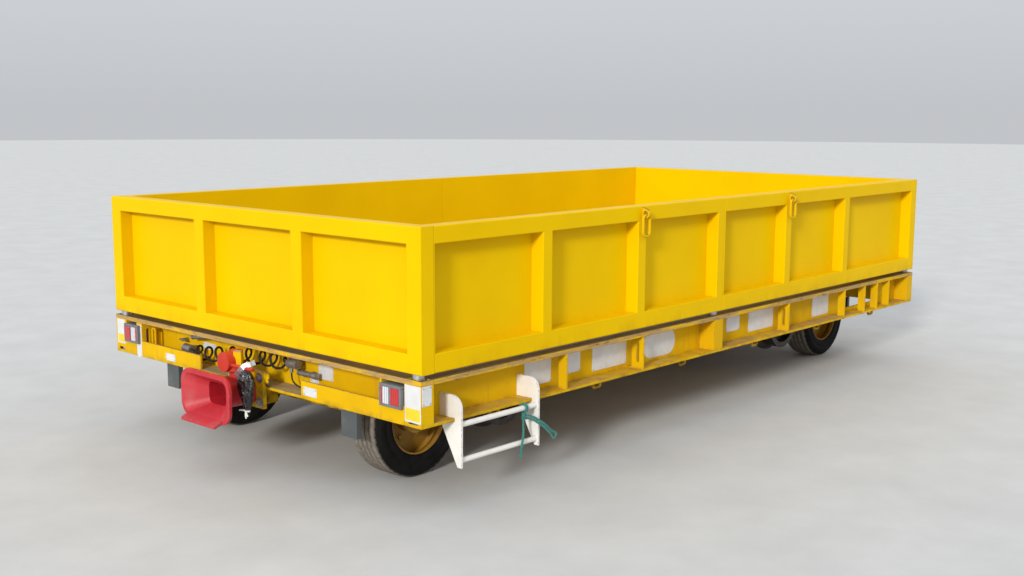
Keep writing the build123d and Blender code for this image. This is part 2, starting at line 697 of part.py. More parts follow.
# Rail guards: short channels hung under the headstocks over the rails
GUARD_X = HALF_LENGTH - GUARD_SETBACK
with BuildPart() as guard_plates:
    with BuildSketch(Plane.XY.offset(BEAM_BOTTOM)):
        with Locations((GUARD_X - GUARD_DEPTH / 2, GUARD_Y), (GUARD_X - GUARD_DEPTH / 2, -GUARD_Y)):
            Rectangle(GUARD_DEPTH, GUARD_WIDTH)
            with Locations((-GUARD_SHEET, 0)):
                Rectangle(GUARD_DEPTH, GUARD_WIDTH - 2 * GUARD_SHEET, mode=Mode.SUBTRACT)
    extrude(amount=-GUARD_DROP)
    add(guard_plates.part, rotation=HALF_TURN)
save(guard_plates, "guard_plates")

# Coupling mounts: a face plate in front of the ledge on a stub under it
MOUNT_FACE_X = HALF_LENGTH + MOUNT_PLATE
MOUNT_TOP = BEAM_BOTTOM + MOUNT_RISE
MOUNT_BOTTOM = BEAM_BOTTOM - MOUNT_FALL
with BuildPart() as coupling_mounts:
    with BuildSketch(Plane.YZ.offset(HALF_LENGTH)):
        with Locations((0, (MOUNT_TOP + MOUNT_BOTTOM) / 2)):
            Rectangle(MOUNT_WIDTH, MOUNT_TOP - MOUNT_BOTTOM)
    extrude(amount=MOUNT_PLATE)
    with BuildSketch(Plane.YZ.offset(WEB_BACK_X)):
        with Locations((0, (BEAM_BOTTOM + MOUNT_BOTTOM) / 2)):
            Rectangle(STUB_WIDTH, BEAM_BOTTOM - MOUNT_BOTTOM)
    extrude(amount=HALF_LENGTH - WEB_BACK_X)
    add(coupling_mounts.part, rotation=HALF_TURN)
save(coupling_mounts, "coupling_mounts")

# Coupling jaws: a blind throat that flares into a catch funnel, with a bead round the mouth and
# a lower lip that reaches further out
COUPLING_Z = BEAM_BOTTOM - COUPLING_FALL
THROAT_X = HALF_LENGTH + THROAT_REACH
MOUTH_X = HALF_LENGTH + MOUTH_REACH
BOLT_X = HALF_LENGTH + BOLT_REACH
LIP_BACK_X = MOUTH_X - MOUTH_BEAD_WIDTH
LIP_FRONT_X = MOUTH_X + LOWER_LIP_REACH
LIP_TOP = COUPLING_Z - MOUTH_HEIGHT / 2
with BuildPart() as coupling_funnels:
    for grow, bead, start_x, mode in (
        # wall outside the opening, bead outside that, x where the throat starts, added or cut
        (FUNNEL_WALL, MOUTH_BEAD, MOUNT_FACE_X, Mode.ADD),
        (0, 0, MOUNT_FACE_X + THROAT_BACK, Mode.SUBTRACT),
    ):
        throat = (THROAT_WIDTH + 2 * grow, THROAT_HEIGHT + 2 * grow, THROAT_ROUND + grow)
        mouth = (MOUTH_WIDTH + 2 * grow, MOUTH_HEIGHT + 2 * grow, MOUTH_ROUND + grow)
        with BuildSketch(Plane.YZ.offset(start_x)):
            with Locations((0, COUPLING_Z)):
                RectangleRounded(*throat)
        extrude(amount=THROAT_X - start_x, mode=mode)
        if bead:
            rim = (mouth[0] + 2 * bead, mouth[1] + 2 * bead, mouth[2] + bead)
            with BuildSketch(Plane.YZ.offset(LIP_BACK_X)):
                with Locations((0, COUPLING_Z)):
                    RectangleRounded(*rim)
            extrude(amount=MOUTH_BEAD_WIDTH)
            with BuildSketch(Plane.XZ):
                with BuildLine():
                    Polyline(
                        (LIP_BACK_X, LIP_TOP),
                        (MOUTH_X, LIP_TOP),
                        (LIP_FRONT_X, LIP_TOP - LOWER_LIP_FALL),
                        (LIP_FRONT_X, LIP_TOP - LOWER_LIP_FALL - FUNNEL_WALL),
                        (LIP_BACK_X, LIP_TOP - FUNNEL_WALL),
                        close=True,
                    )
                make_face()
            extrude(amount=LOWER_LIP_WIDTH / 2, both=True)
        with BuildSketch(Plane.YZ.offset(THROAT_X)):
            with Locations((0, COUPLING_Z)):
                RectangleRounded(*throat)
        with BuildSketch(Plane.YZ.offset(MOUTH_X)):
            with Locations((0, COUPLING_Z)):
                RectangleRounded(*mouth)
        loft(mode=mode)
    add(coupling_funnels.part, rotation=HALF_TURN)
save(coupling_funnels, "coupling_funnels")

# Coupling housings: an upright drum with a collar over the bolt, a round cover in front of it
# and the release lever at one side
JAW_TOP = COUPLING_Z + THROAT_HEIGHT / 2 + FUNNEL_WALL
LEVER_X = BOLT_X + LEVER_FORWARD
LEVER_Z = BEAM_BOTTOM + LEVER_RISE
DRUM_STEPS = (
    # radius, from height, to height
    (DRUM_RADIUS, JAW_TOP, BEAM_BOTTOM + DRUM_RISE),
    (COLLAR_RADIUS, BEAM_BOTTOM + COLLAR_RISE, BEAM_BOTTOM + COLLAR_RISE + COLLAR_SHEET),
)
with BuildPart() as coupling_housings:
    for radius, low, high in DRUM_STEPS:
        with BuildSketch(Plane.XY.offset(low)):
            with Locations((BOLT_X, 0)):
                Circle(radius)
        extrude(amount=high - low)
    with BuildSketch(Plane.YZ.offset(BOLT_X)):
        with Locations((0, BEAM_BOTTOM + COVER_RISE)):
            Circle(COVER_RADIUS)
    extrude(amount=COVER_REACH)
    with BuildSketch(Plane.XZ):
        with Locations((LEVER_X, LEVER_Z)):
            Circle(LEVER_RADIUS)
    extrude(amount=-LEVER_REACH)
    add(coupling_housings.part, rotation=HALF_TURN)
save(coupling_housings, "coupling_housings")

# Coupling bolts: upright pins across the throats
with BuildPart() as coupling_bolts:
    with BuildSketch(Plane.XY.offset(COUPLING_Z - THROAT_HEIGHT / 2)):
        with Locations((BOLT_X, 0), (-BOLT_X, 0)):
            Circle(BOLT_RADIUS)
    extrude(amount=THROAT_HEIGHT)
save(coupling_bolts, "coupling_bolts")

# Road axles: a square beam hung from the longitudinals, with a spindle at each end
RIM_FROM = TYRE_OUTER_Y - TYRE_WIDTH + RIM_INSET
RIM_TO = TYRE_OUTER_Y - RIM_INSET
DISC_Y = RIM_FROM + DISC_FROM_INNER
HUB_END = DISC_Y + DISC_SHEET + HUB_REACH
BEAM_TOP = TYRE_RADIUS + AXLE_BEAM / 2
with BuildPart() as road_axle_front:
    with BuildSketch(Plane.XZ):
        with Locations((AXLE_X, TYRE_RADIUS)):
            Rectangle(AXLE_BEAM, AXLE_BEAM)
    extrude(amount=AXLE_BEAM_HALF, both=True)
    with BuildSketch(Plane.XZ):
        with Locations((AXLE_X, TYRE_RADIUS)):
            Circle(SPINDLE_RADIUS)
    extrude(amount=HUB_END, both=True)
    for middle in (LONGITUDINAL_Y, -LONGITUDINAL_Y):
        with BuildSketch(Plane.XZ.offset(-middle)):
            with BuildLine():
                Polyline(
                    (AXLE_X - AXLE_BEAM / 2, BEAM_TOP),
                    (AXLE_X + AXLE_BEAM / 2, BEAM_TOP),
                    (AXLE_X + HANGER_LENGTH / 2, BEAM_BOTTOM),
                    (AXLE_X - HANGER_LENGTH / 2, BEAM_BOTTOM),
                    close=True,
                )
            make_face()
        extrude(amount=LONGITUDINAL_WIDTH / 2, both=True)
save(road_axle_front, "road_axle_front")
turned_copy(road_axle_front, "road_axle_rear")

# Road wheels: a rubber tyre on a deep-dish rim, four times
WHEELS = (
    # place, x of the axle, side
    ("front_left", AXLE_X, 1),
    ("front_right", AXLE_X, -1),
    ("rear_left", -AXLE_X, 1),
    ("rear_right", -AXLE_X, -1),
)
BEAD_RADIUS = RIM_RADIUS + SEAT_GAP
BEAD_FROM = RIM_FROM + RIM_FLANGE_WIDTH + SEAT_GAP
BEAD_TO = RIM_TO - RIM_FLANGE_WIDTH - SEAT_GAP
FLANGE_CLEAR = RIM_RADIUS + RIM_FLANGE + SEAT_GAP
TYRE_INNER_Y = TYRE_OUTER_Y - TYRE_WIDTH
BULGE_RADIUS = (FLANGE_CLEAR + TYRE_RADIUS) / 2
for place, axle_x, side in WHEELS:
    section = Plane(origin=(axle_x, 0, TYRE_RADIUS), x_dir=(0, side, 0), z_dir=(side, 0, 0))
    spin = Axis((axle_x, 0, TYRE_RADIUS), (0, 1, 0))
    with BuildPart() as tyre:
        with BuildSketch(section) as profile:
            with BuildLine():
                Polyline(
                    (BEAD_FROM, BEAD_RADIUS),
                    (BEAD_FROM, FLANGE_CLEAR),
                    (TYRE_INNER_Y + RIM_INSET / 2, FLANGE_CLEAR + RIM_FLANGE / 2),
                    (TYRE_INNER_Y, BULGE_RADIUS),
                    (TYRE_INNER_Y + RIM_INSET / 2, TYRE_RADIUS),
                    (TYRE_OUTER_Y - RIM_INSET / 2, TYRE_RADIUS),
                    (TYRE_OUTER_Y, BULGE_RADIUS),
                    (TYRE_OUTER_Y - RIM_INSET / 2, FLANGE_CLEAR + RIM_FLANGE / 2),
                    (BEAD_TO, FLANGE_CLEAR),
                    (BEAD_TO, BEAD_RADIUS),
                    close=True,
                )
            make_face()
            fillet(profile.vertices().group_by(Axis.Y)[-1], TYRE_SHOULDER)
        revolve(axis=spin)
    save(tyre, f"tyre_{place}")
    with BuildPart() as rim:
        with BuildSketch(section):
            with Locations(((RIM_FROM + RIM_TO) / 2, RIM_RADIUS - RIM_SHEET / 2)):
                Rectangle(RIM_TO - RIM_FROM, RIM_SHEET)
            for edge in (RIM_FROM + RIM_FLANGE_WIDTH / 2, RIM_TO - RIM_FLANGE_WIDTH / 2):
                with Locations((edge, RIM_RADIUS + (RIM_FLANGE - RIM_SHEET) / 2)):
                    Rectangle(RIM_FLANGE_WIDTH, RIM_FLANGE + RIM_SHEET)
            bore = SPINDLE_RADIUS + BEARING_GAP
            with Locations((DISC_Y + DISC_SHEET / 2, (RIM_RADIUS - RIM_SHEET + bore) / 2)):
                Rectangle(DISC_SHEET, RIM_RADIUS - RIM_SHEET - bore)
            with Locations(((DISC_Y + HUB_END) / 2, (HUB_RADIUS + bore) / 2)):
                Rectangle(HUB_END - DISC_Y, HUB_RADIUS - bore)
        revolve(axis=spin)
    save(rim, f"rim_{place}")

# Rail pivot brackets: bored blocks under the longitudinals
with BuildPart() as rail_brackets:
    for middle in (LONGITUDINAL_Y, -LONGITUDINAL_Y):
        with BuildSketch(Plane.XZ.offset(-middle)):
            with Locations((RAIL_PIVOT_X, RAIL_PIVOT_Z)):
                Circle(RAIL_PIVOT_RADIUS + RAIL_BRACKET_WALL)
            with Locations((RAIL_PIVOT_X, (RAIL_PIVOT_Z + BEAM_BOTTOM) / 2)):
                Rectangle(2 * (RAIL_PIVOT_RADIUS + RAIL_BRACKET_WALL), BEAM_BOTTOM - RAIL_PIVOT_Z)
            with Locations((RAIL_PIVOT_X, RAIL_PIVOT_Z)):
                Circle(RAIL_PIVOT_RADIUS + BEARING_GAP, mode=Mode.SUBTRACT)
        extrude(amount=LONGITUDINAL_WIDTH / 2, both=True)
    add(rail_brackets.part, rotation=HALF_TURN)
save(rail_brackets, "rail_brackets")

# Rail frames: two arms on a pivot tube, with a tie, that swing down with the rail axle
ARM_OUTER_Y = RAIL_ARM_Y + RAIL_ARM_SHEET
ARM_MIDDLE = ((RAIL_PIVOT_X + RAIL_AXLE_X) / 2, (RAIL_PIVOT_Z + RAIL_AXLE_Z) / 2)
with BuildPart() as rail_frame_front:
    for outer_y in (ARM_OUTER_Y, -RAIL_ARM_Y):
        with BuildSketch(Plane.XZ.offset(-outer_y)):
            SlotCenterPoint(ARM_MIDDLE, (RAIL_AXLE_X, RAIL_AXLE_Z), 2 * RAIL_ARM_RADIUS)
            with Locations((RAIL_AXLE_X, RAIL_AXLE_Z)):
                Circle(RAIL_AXLE_RADIUS + BEARING_GAP, mode=Mode.SUBTRACT)
        extrude(amount=RAIL_ARM_SHEET)
    with BuildSketch(Plane.XZ):
        with Locations((RAIL_PIVOT_X, RAIL_PIVOT_Z)):
            Circle(RAIL_PIVOT_RADIUS)
        with Locations(ARM_MIDDLE):
            Circle(RAIL_TIE_RADIUS)
    extrude(amount=RAIL_ARM_Y, both=True)
save(rail_frame_front, "rail_frame_front")
turned_copy(rail_frame_front, "rail_frame_rear")

# Rail axles: a plain shaft with a flanged wheel at each end
RAIL_OUTER_Y = RAIL_BACK_Y + RAIL_WHEEL_WIDTH
RAIL_RIM_INNER = RAIL_TREAD_RADIUS - RAIL_RIM
with BuildPart() as rail_axle_front:
    with BuildSketch(Plane(origin=(RAIL_AXLE_X, 0, RAIL_AXLE_Z), x_dir=(0, 1, 0), z_dir=(1, 0, 0))):
        with Locations((0, RAIL_AXLE_RADIUS / 2)):
            Rectangle(2 * RAIL_OUTER_Y, RAIL_AXLE_RADIUS)
        for side in (1, -1):
            wheel_y = side * (RAIL_BACK_Y + RAIL_OUTER_Y) / 2
            with Locations((wheel_y, RAIL_HUB_RADIUS / 2)):
                Rectangle(RAIL_WHEEL_WIDTH, RAIL_HUB_RADIUS)
            with Locations((wheel_y, RAIL_TREAD_RADIUS / 2)):
                Rectangle(RAIL_DISC, RAIL_TREAD_RADIUS)
            with Locations((wheel_y, RAIL_TREAD_RADIUS - RAIL_RIM / 2)):
                Rectangle(RAIL_WHEEL_WIDTH, RAIL_RIM)
            with BuildLine():
                Polyline(
                    (side * RAIL_BACK_Y, RAIL_RIM_INNER),
                    (side * RAIL_BACK_Y, RAIL_FLANGE_RADIUS),
                    (side * (RAIL_BACK_Y + RAIL_FLANGE_WIDTH / 2), RAIL_FLANGE_RADIUS),
                    (side * (RAIL_BACK_Y + RAIL_FLANGE_WIDTH), RAIL_TREAD_RADIUS),
                    (side * (RAIL_BACK_Y + RAIL_FLANGE_WIDTH), RAIL_RIM_INNER),
                    close=True,
                )
            make_face()
    revolve(axis=Axis((RAIL_AXLE_X, 0, RAIL_AXLE_Z), (0, 1, 0)))
save(rail_axle_front, "rail_axle_front")
turned_copy(rail_axle_front, "rail_axle_rear")

# Coiled air hose, draped along the front headstock between two holders
HOSE_POINTS = (
    (WEB_FRONT_X + 60, -600, LEDGE_TOP + 76),
    (WEB_FRONT_X + 62, -450, LEDGE_TOP + 70),
    (WEB_FRONT_X + 67, -290, LEDGE_TOP + 94),
    (WEB_FRONT_X + 70, -110, LEDGE_TOP + 120),
    (WEB_FRONT_X + 67, 80, LEDGE_TOP + 125),
    (WEB_FRONT_X + 61, 262, LEDGE_TOP + 128),
)
cord_tube("coiled_hose", HOSE_POINTS, COIL_RADIUS)

# Hose holders: a sleeve in line with each end of the hose, on an arm from the headstock web,
# the right one with a gland for the lamp lead, and a parked hose coupling above the left end
PLUG_Z = LEDGE_TOP + PLUG_RADIUS + SEAT_GAP
LEAD_POINTS = (
    (WEB_FRONT_X + 62, 282, LEDGE_TOP + 84),
    (WEB_FRONT_X + 62, 282, LEDGE_TOP + 60),
    (WEB_FRONT_X + 60, 290, LEDGE_TOP + 37),
    (WEB_FRONT_X + 54, 308, LEDGE_TOP + 21),
    (WEB_FRONT_X + 47, 332, PLUG_Z),
    (WEB_FRONT_X + 42, 356, PLUG_Z),
)
PARKED_MIDDLE = Vector(WEB_FRONT_X + PARKED_STANDOFF, PARKED_Y, LEDGE_TOP + PARKED_RISE)
PARKED_RUN = Vector(0, 1, PARKED_SLOPE).normalized()
with BuildPart() as hose_fittings:
    for tip, inward in ((HOSE_POINTS[0], HOSE_POINTS[1]), (HOSE_POINTS[-1], HOSE_POINTS[-2])):
        away = (Vector(*tip) - Vector(*inward)).normalized()
        with BuildSketch(Plane(origin=tip, z_dir=away)):
            Circle(HOLDER_RADIUS)
        extrude(amount=HOLDER_LENGTH)
        middle = Vector(*tip) + away * (HOLDER_LENGTH / 2)
        with BuildSketch(Plane.YZ.offset(WEB_FRONT_X)):
            with Locations((middle.Y, middle.Z)):
                Rectangle(HOLDER_ARM, HOLDER_ARM)
        extrude(amount=middle.X - WEB_FRONT_X)
    with BuildSketch(Plane(origin=LEAD_POINTS[0])):
        Circle(GLAND_RADIUS)
    extrude(amount=HOSE_POINTS[-1][2] - LEAD_POINTS[0][2])
    with BuildSketch(Plane(origin=PARKED_MIDDLE - PARKED_RUN * (PARKED_LENGTH / 2), z_dir=PARKED_RUN)):
        Circle(PARKED_RADIUS)
    extrude(amount=PARKED_LENGTH)
    with BuildSketch(Plane.YZ.offset(WEB_FRONT_X)):
        with Locations((PARKED_MIDDLE.Y, PARKED_MIDDLE.Z)):
            Rectangle(HOLDER_ARM, HOLDER_ARM)
    extrude(amount=PARKED_MIDDLE.X - WEB_FRONT_X)
save(hose_fittings, "hose_fittings")

# Air taps: a stepped coupling by the right holder, and a cross-handled tap and a knob at the left
COUPLING_STEPS = (
    # from y, to y, radius
    (308, 366, 15),
    (366, 420, 11),
    (420, 452, 17),
)
AIR_Z = LEDGE_TOP + AIR_RISE
TAP_Z = LEDGE_TOP + TAP_RISE
KNOB_Z = LEDGE_TOP + KNOB_RISE
with BuildPart() as air_taps:
    for start, stop, radius in COUPLING_STEPS:
        with BuildSketch(Plane.XZ.offset(-start)):
            with Locations((WEB_FRONT_X + TAP_STANDOFF, AIR_Z)):
                Circle(radius)
        extrude(amount=start - stop)
    middle_y = (COUPLING_STEPS[1][0] + COUPLING_STEPS[1][1]) / 2
    with BuildSketch(Plane.YZ.offset(WEB_FRONT_X)):
        with Locations((middle_y, AIR_Z)):
            Rectangle(HOLDER_ARM, HOLDER_ARM)
        with Locations((TAP_Y, TAP_Z)):
            Circle(TAP_RADIUS)
        with Locations((KNOB_Y, KNOB_Z)):
            Circle(KNOB_RADIUS)
    extrude(amount=TAP_STANDOFF)
    with BuildSketch(Plane.XZ.offset(-TAP_Y - TAP_HANDLE_LENGTH / 2)):
        with Locations((WEB_FRONT_X + TAP_STANDOFF, TAP_Z)):
            Circle(TAP_HANDLE)
    extrude(amount=TAP_HANDLE_LENGTH)
save(air_taps, "air_taps")

# Lamp lead with its plug, hanging from the gland and lying on the ledge
cord_tube("lamp_lead", LEAD_POINTS, LEAD_RADIUS)
with BuildPart() as lead_plug:
    run = Vector(*LEAD_POINTS[-1]) - Vector(*LEAD_POINTS[-2])
    with BuildSketch(Plane(origin=LEAD_POINTS[-1], z_dir=run)):
        Circle(PLUG_RADIUS)
    extrude(amount=PLUG_LENGTH)
save(lead_plug, "lead_plug")

# Rope round the upper rung of the left step: a collar and knot, a tail and a bight
ROPE_X = STEP_REAR_X + 92
KNOT_Z = UPPER_RUNG_Z - RUNG_RADIUS - SEAT_GAP - KNOT_RADIUS
with BuildPart() as rope_knot:
    with BuildSketch(Plane.YZ.offset(ROPE_X - 2 * ROPE_RADIUS)):
        with Locations((RUNG_Y, UPPER_RUNG_Z)):
            Circle(RUNG_RADIUS + SEAT_GAP + 2 * ROPE_RADIUS)
        with Locations((RUNG_Y, KNOT_Z - ROPE_RADIUS)):
            Rectangle(4 * ROPE_RADIUS, 2 * KNOT_RADIUS)
        with Locations((RUNG_Y, UPPER_RUNG_Z)):
            Circle(RUNG_RADIUS + SEAT_GAP, mode=Mode.SUBTRACT)
    extrude(amount=4 * ROPE_RADIUS)
save(rope_knot, "rope_knot")
KNOT_BOTTOM = KNOT_Z - ROPE_RADIUS - KNOT_RADIUS
ROPE_TAIL = (
    (ROPE_X + 4, RUNG_Y, KNOT_BOTTOM),
    (ROPE_X + 4, RUNG_Y, KNOT_BOTTOM - 24),
    (ROPE_X + 20, RUNG_Y + 16, KNOT_BOTTOM - 58),
    (ROPE_X + 40, RUNG_Y + 27, KNOT_BOTTOM - 96),
    (ROPE_X + 50, RUNG_Y + 27, KNOT_BOTTOM - 136),
    (ROPE_X + 46, RUNG_Y + 23, KNOT_BOTTOM - 172),
)
cord_tube("rope_tail", ROPE_TAIL, ROPE_RADIUS)
ROPE_BIGHT = (
    (ROPE_X - 12, RUNG_Y, KNOT_BOTTOM + 16),
    (ROPE_X - 34, RUNG_Y, KNOT_BOTTOM + 16),
    (ROPE_X - 62, RUNG_Y + 26, KNOT_BOTTOM - 4),
    (ROPE_X - 98, RUNG_Y + 48, KNOT_BOTTOM - 34),
    (ROPE_X - 142, RUNG_Y + 54, KNOT_BOTTOM - 76),
)
cord_tube("rope_bight", ROPE_BIGHT, BIGHT_RADIUS)

# Wrapped bundle: a bagged hose end hung on the front coupling's lever
BUNDLE_SECTIONS = (
    # height, size along x, size along y
    (LEVER_Z - LEVER_RADIUS - SEAT_GAP, 44, 56),
    (BEAM_BOTTOM + 78, 76, 128),
    (BEAM_BOTTOM + 22, 74, 122),
    (BEAM_BOTTOM - 40, 56, 70),
    (BEAM_BOTTOM - 112, 26, 26),
)
BUNDLE_Y = 164
with BuildPart() as wrapped_bundle:
    for height, along_x, along_y in BUNDLE_SECTIONS:
        with BuildSketch(Plane.XY.offset(height)):
            with Locations((LEVER_X, BUNDLE_Y)):
                Ellipse(along_x / 2, along_y / 2)
    loft()
save(wrapped_bundle, "wrapped_bundle")
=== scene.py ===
"""Looks of a road-rail platform trailer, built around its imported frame. Lengths are in metres."""

import json
import math

import bmesh
import bpy
from mathutils import Matrix, Vector, noise


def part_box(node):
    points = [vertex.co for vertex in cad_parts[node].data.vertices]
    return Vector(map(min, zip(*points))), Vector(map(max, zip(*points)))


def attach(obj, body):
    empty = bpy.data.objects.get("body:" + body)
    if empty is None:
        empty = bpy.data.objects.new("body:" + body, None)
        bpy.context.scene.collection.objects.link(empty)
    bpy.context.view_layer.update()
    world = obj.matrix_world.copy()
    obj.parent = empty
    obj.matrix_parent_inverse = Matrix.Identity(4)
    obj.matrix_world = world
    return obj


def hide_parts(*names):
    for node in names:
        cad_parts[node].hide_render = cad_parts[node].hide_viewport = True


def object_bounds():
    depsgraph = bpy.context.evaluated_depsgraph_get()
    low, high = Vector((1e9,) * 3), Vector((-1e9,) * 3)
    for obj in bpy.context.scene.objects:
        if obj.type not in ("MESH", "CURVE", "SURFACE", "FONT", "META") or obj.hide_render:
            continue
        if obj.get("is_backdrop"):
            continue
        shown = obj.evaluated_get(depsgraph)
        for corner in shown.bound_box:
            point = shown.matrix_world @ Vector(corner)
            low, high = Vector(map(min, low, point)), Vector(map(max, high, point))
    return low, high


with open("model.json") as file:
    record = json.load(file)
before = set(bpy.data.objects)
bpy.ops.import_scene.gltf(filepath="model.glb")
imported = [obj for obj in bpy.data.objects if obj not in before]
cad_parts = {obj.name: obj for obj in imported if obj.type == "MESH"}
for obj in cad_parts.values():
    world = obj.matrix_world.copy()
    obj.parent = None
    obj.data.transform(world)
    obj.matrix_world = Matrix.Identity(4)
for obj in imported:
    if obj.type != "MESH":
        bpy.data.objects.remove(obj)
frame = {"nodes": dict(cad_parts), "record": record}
NODES = frame["nodes"]
CAD_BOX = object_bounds()
PLATFORM = "platform"
WHEEL_PLACES = ("front_left", "front_right", "rear_left", "rear_right")
BOTH_ENDS = (Matrix.Identity(4), Matrix.Rotation(math.pi, 4, "Z"))
BOTH_SIDES = (1, -1)
FORWARD = Vector((1, 0, 0))
LEFT = Vector((0, 1, 0))
UP = Vector((0, 0, 1))

# Camera, solved from the load box's corners; angles in degrees, lens and sensor in millimetres
CAMERA_PLACE = (6.0388, 5.0598, 1.8193)
CAMERA_TURN = 132.362
CAMERA_DOWN = 8.526
CAMERA_ROLL = 0.24
CAMERA_LENS = 42.606
CAMERA_SENSOR = 36

# Planes of the frame
HEADSTOCK_RECESS = 0.12
FLANGE_WIDTH = 0.11
WEB_SHEET = 0.01
TOP_FLANGE = 0.024
BOTTOM_FLANGE = 0.014
FRONT_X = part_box("headstock_front")[1].x
SIDE_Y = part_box("side_beam_left")[1].y
BEAM_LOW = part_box("side_beam_left")[0].z
BEAM_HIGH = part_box("side_beam_left")[1].z
WEB_X = FRONT_X - HEADSTOCK_RECESS
WEB_Y = SIDE_Y - FLANGE_WIDTH + WEB_SHEET
LEDGE = BEAM_LOW + BOTTOM_FLANGE
UNDER_EDGE = BEAM_HIGH - TOP_FLANGE

# The front wheels' axle; the rear axle is as far behind the middle
TYRE_LOW, TYRE_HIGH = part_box("tyre_front_left")
AXLE_X = (TYRE_LOW.x + TYRE_HIGH.x) / 2
AXLE_Z = (TYRE_LOW.z + TYRE_HIGH.z) / 2

# Hose, lead and rope: routes as in the model
HOSE_ROUTE = (
    (WEB_X + 0.060, -0.600, LEDGE + 0.076),
    (WEB_X + 0.062, -0.450, LEDGE + 0.070),
    (WEB_X + 0.067, -0.290, LEDGE + 0.094),
    (WEB_X + 0.070, -0.110, LEDGE + 0.120),
    (WEB_X + 0.067, 0.080, LEDGE + 0.125),
    (WEB_X + 0.061, 0.262, LEDGE + 0.128),
)
HOSE_RADIUS = 0.0062
HOSE_COIL = 0.0365
HOSE_TURNS = 8.5
PLUG_Z = LEDGE + 0.0133
LEAD_ROUTE = (
    (WEB_X + 0.062, 0.282, LEDGE + 0.084),
    (WEB_X + 0.062, 0.282, LEDGE + 0.060),
    (WEB_X + 0.060, 0.290, LEDGE + 0.037),
    (WEB_X + 0.054, 0.308, LEDGE + 0.021),
    (WEB_X + 0.047, 0.332, PLUG_Z),
    (WEB_X + 0.042, 0.356, PLUG_Z),
)
LEAD_RADIUS = 0.004
ROPE_RADIUS = 0.006
RUNG_RADIUS = 0.013
KNOT_LOW, KNOT_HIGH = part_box("rope_knot")
ROPE_X = (KNOT_LOW.x + KNOT_HIGH.x) / 2
RUNG_Y = (KNOT_LOW.y + KNOT_HIGH.y) / 2
KNOT_BOTTOM = KNOT_LOW.z
RUNG_Z = KNOT_HIGH.z - RUNG_RADIUS - 2 * ROPE_RADIUS
TAIL_ROUTE = (
    (ROPE_X + 0.004, RUNG_Y, KNOT_BOTTOM),
    (ROPE_X + 0.004, RUNG_Y, KNOT_BOTTOM - 0.024),
    (ROPE_X + 0.020, RUNG_Y + 0.016, KNOT_BOTTOM - 0.058),
    (ROPE_X + 0.040, RUNG_Y + 0.027, KNOT_BOTTOM - 0.096),
    (ROPE_X + 0.050, RUNG_Y + 0.027, KNOT_BOTTOM - 0.136),
    (ROPE_X + 0.046, RUNG_Y + 0.023, KNOT_BOTTOM - 0.172),
)
BIGHT_ROUTE = (
    (ROPE_X - 0.012, RUNG_Y, KNOT_BOTTOM + 0.016),
    (ROPE_X - 0.034, RUNG_Y, KNOT_BOTTOM + 0.016),
    (ROPE_X - 0.062, RUNG_Y + 0.026, KNOT_BOTTOM - 0.004),
    (ROPE_X - 0.098, RUNG_Y + 0.048, KNOT_BOTTOM - 0.034),
    (ROPE_X - 0.142, RUNG_Y + 0.054, KNOT_BOTTOM - 0.076),
)
BIGHT_SPREAD = 0.0065
EYE_HALF = 0.014
EYE_NEAR = 0.014
EYE_FAR = 0.034


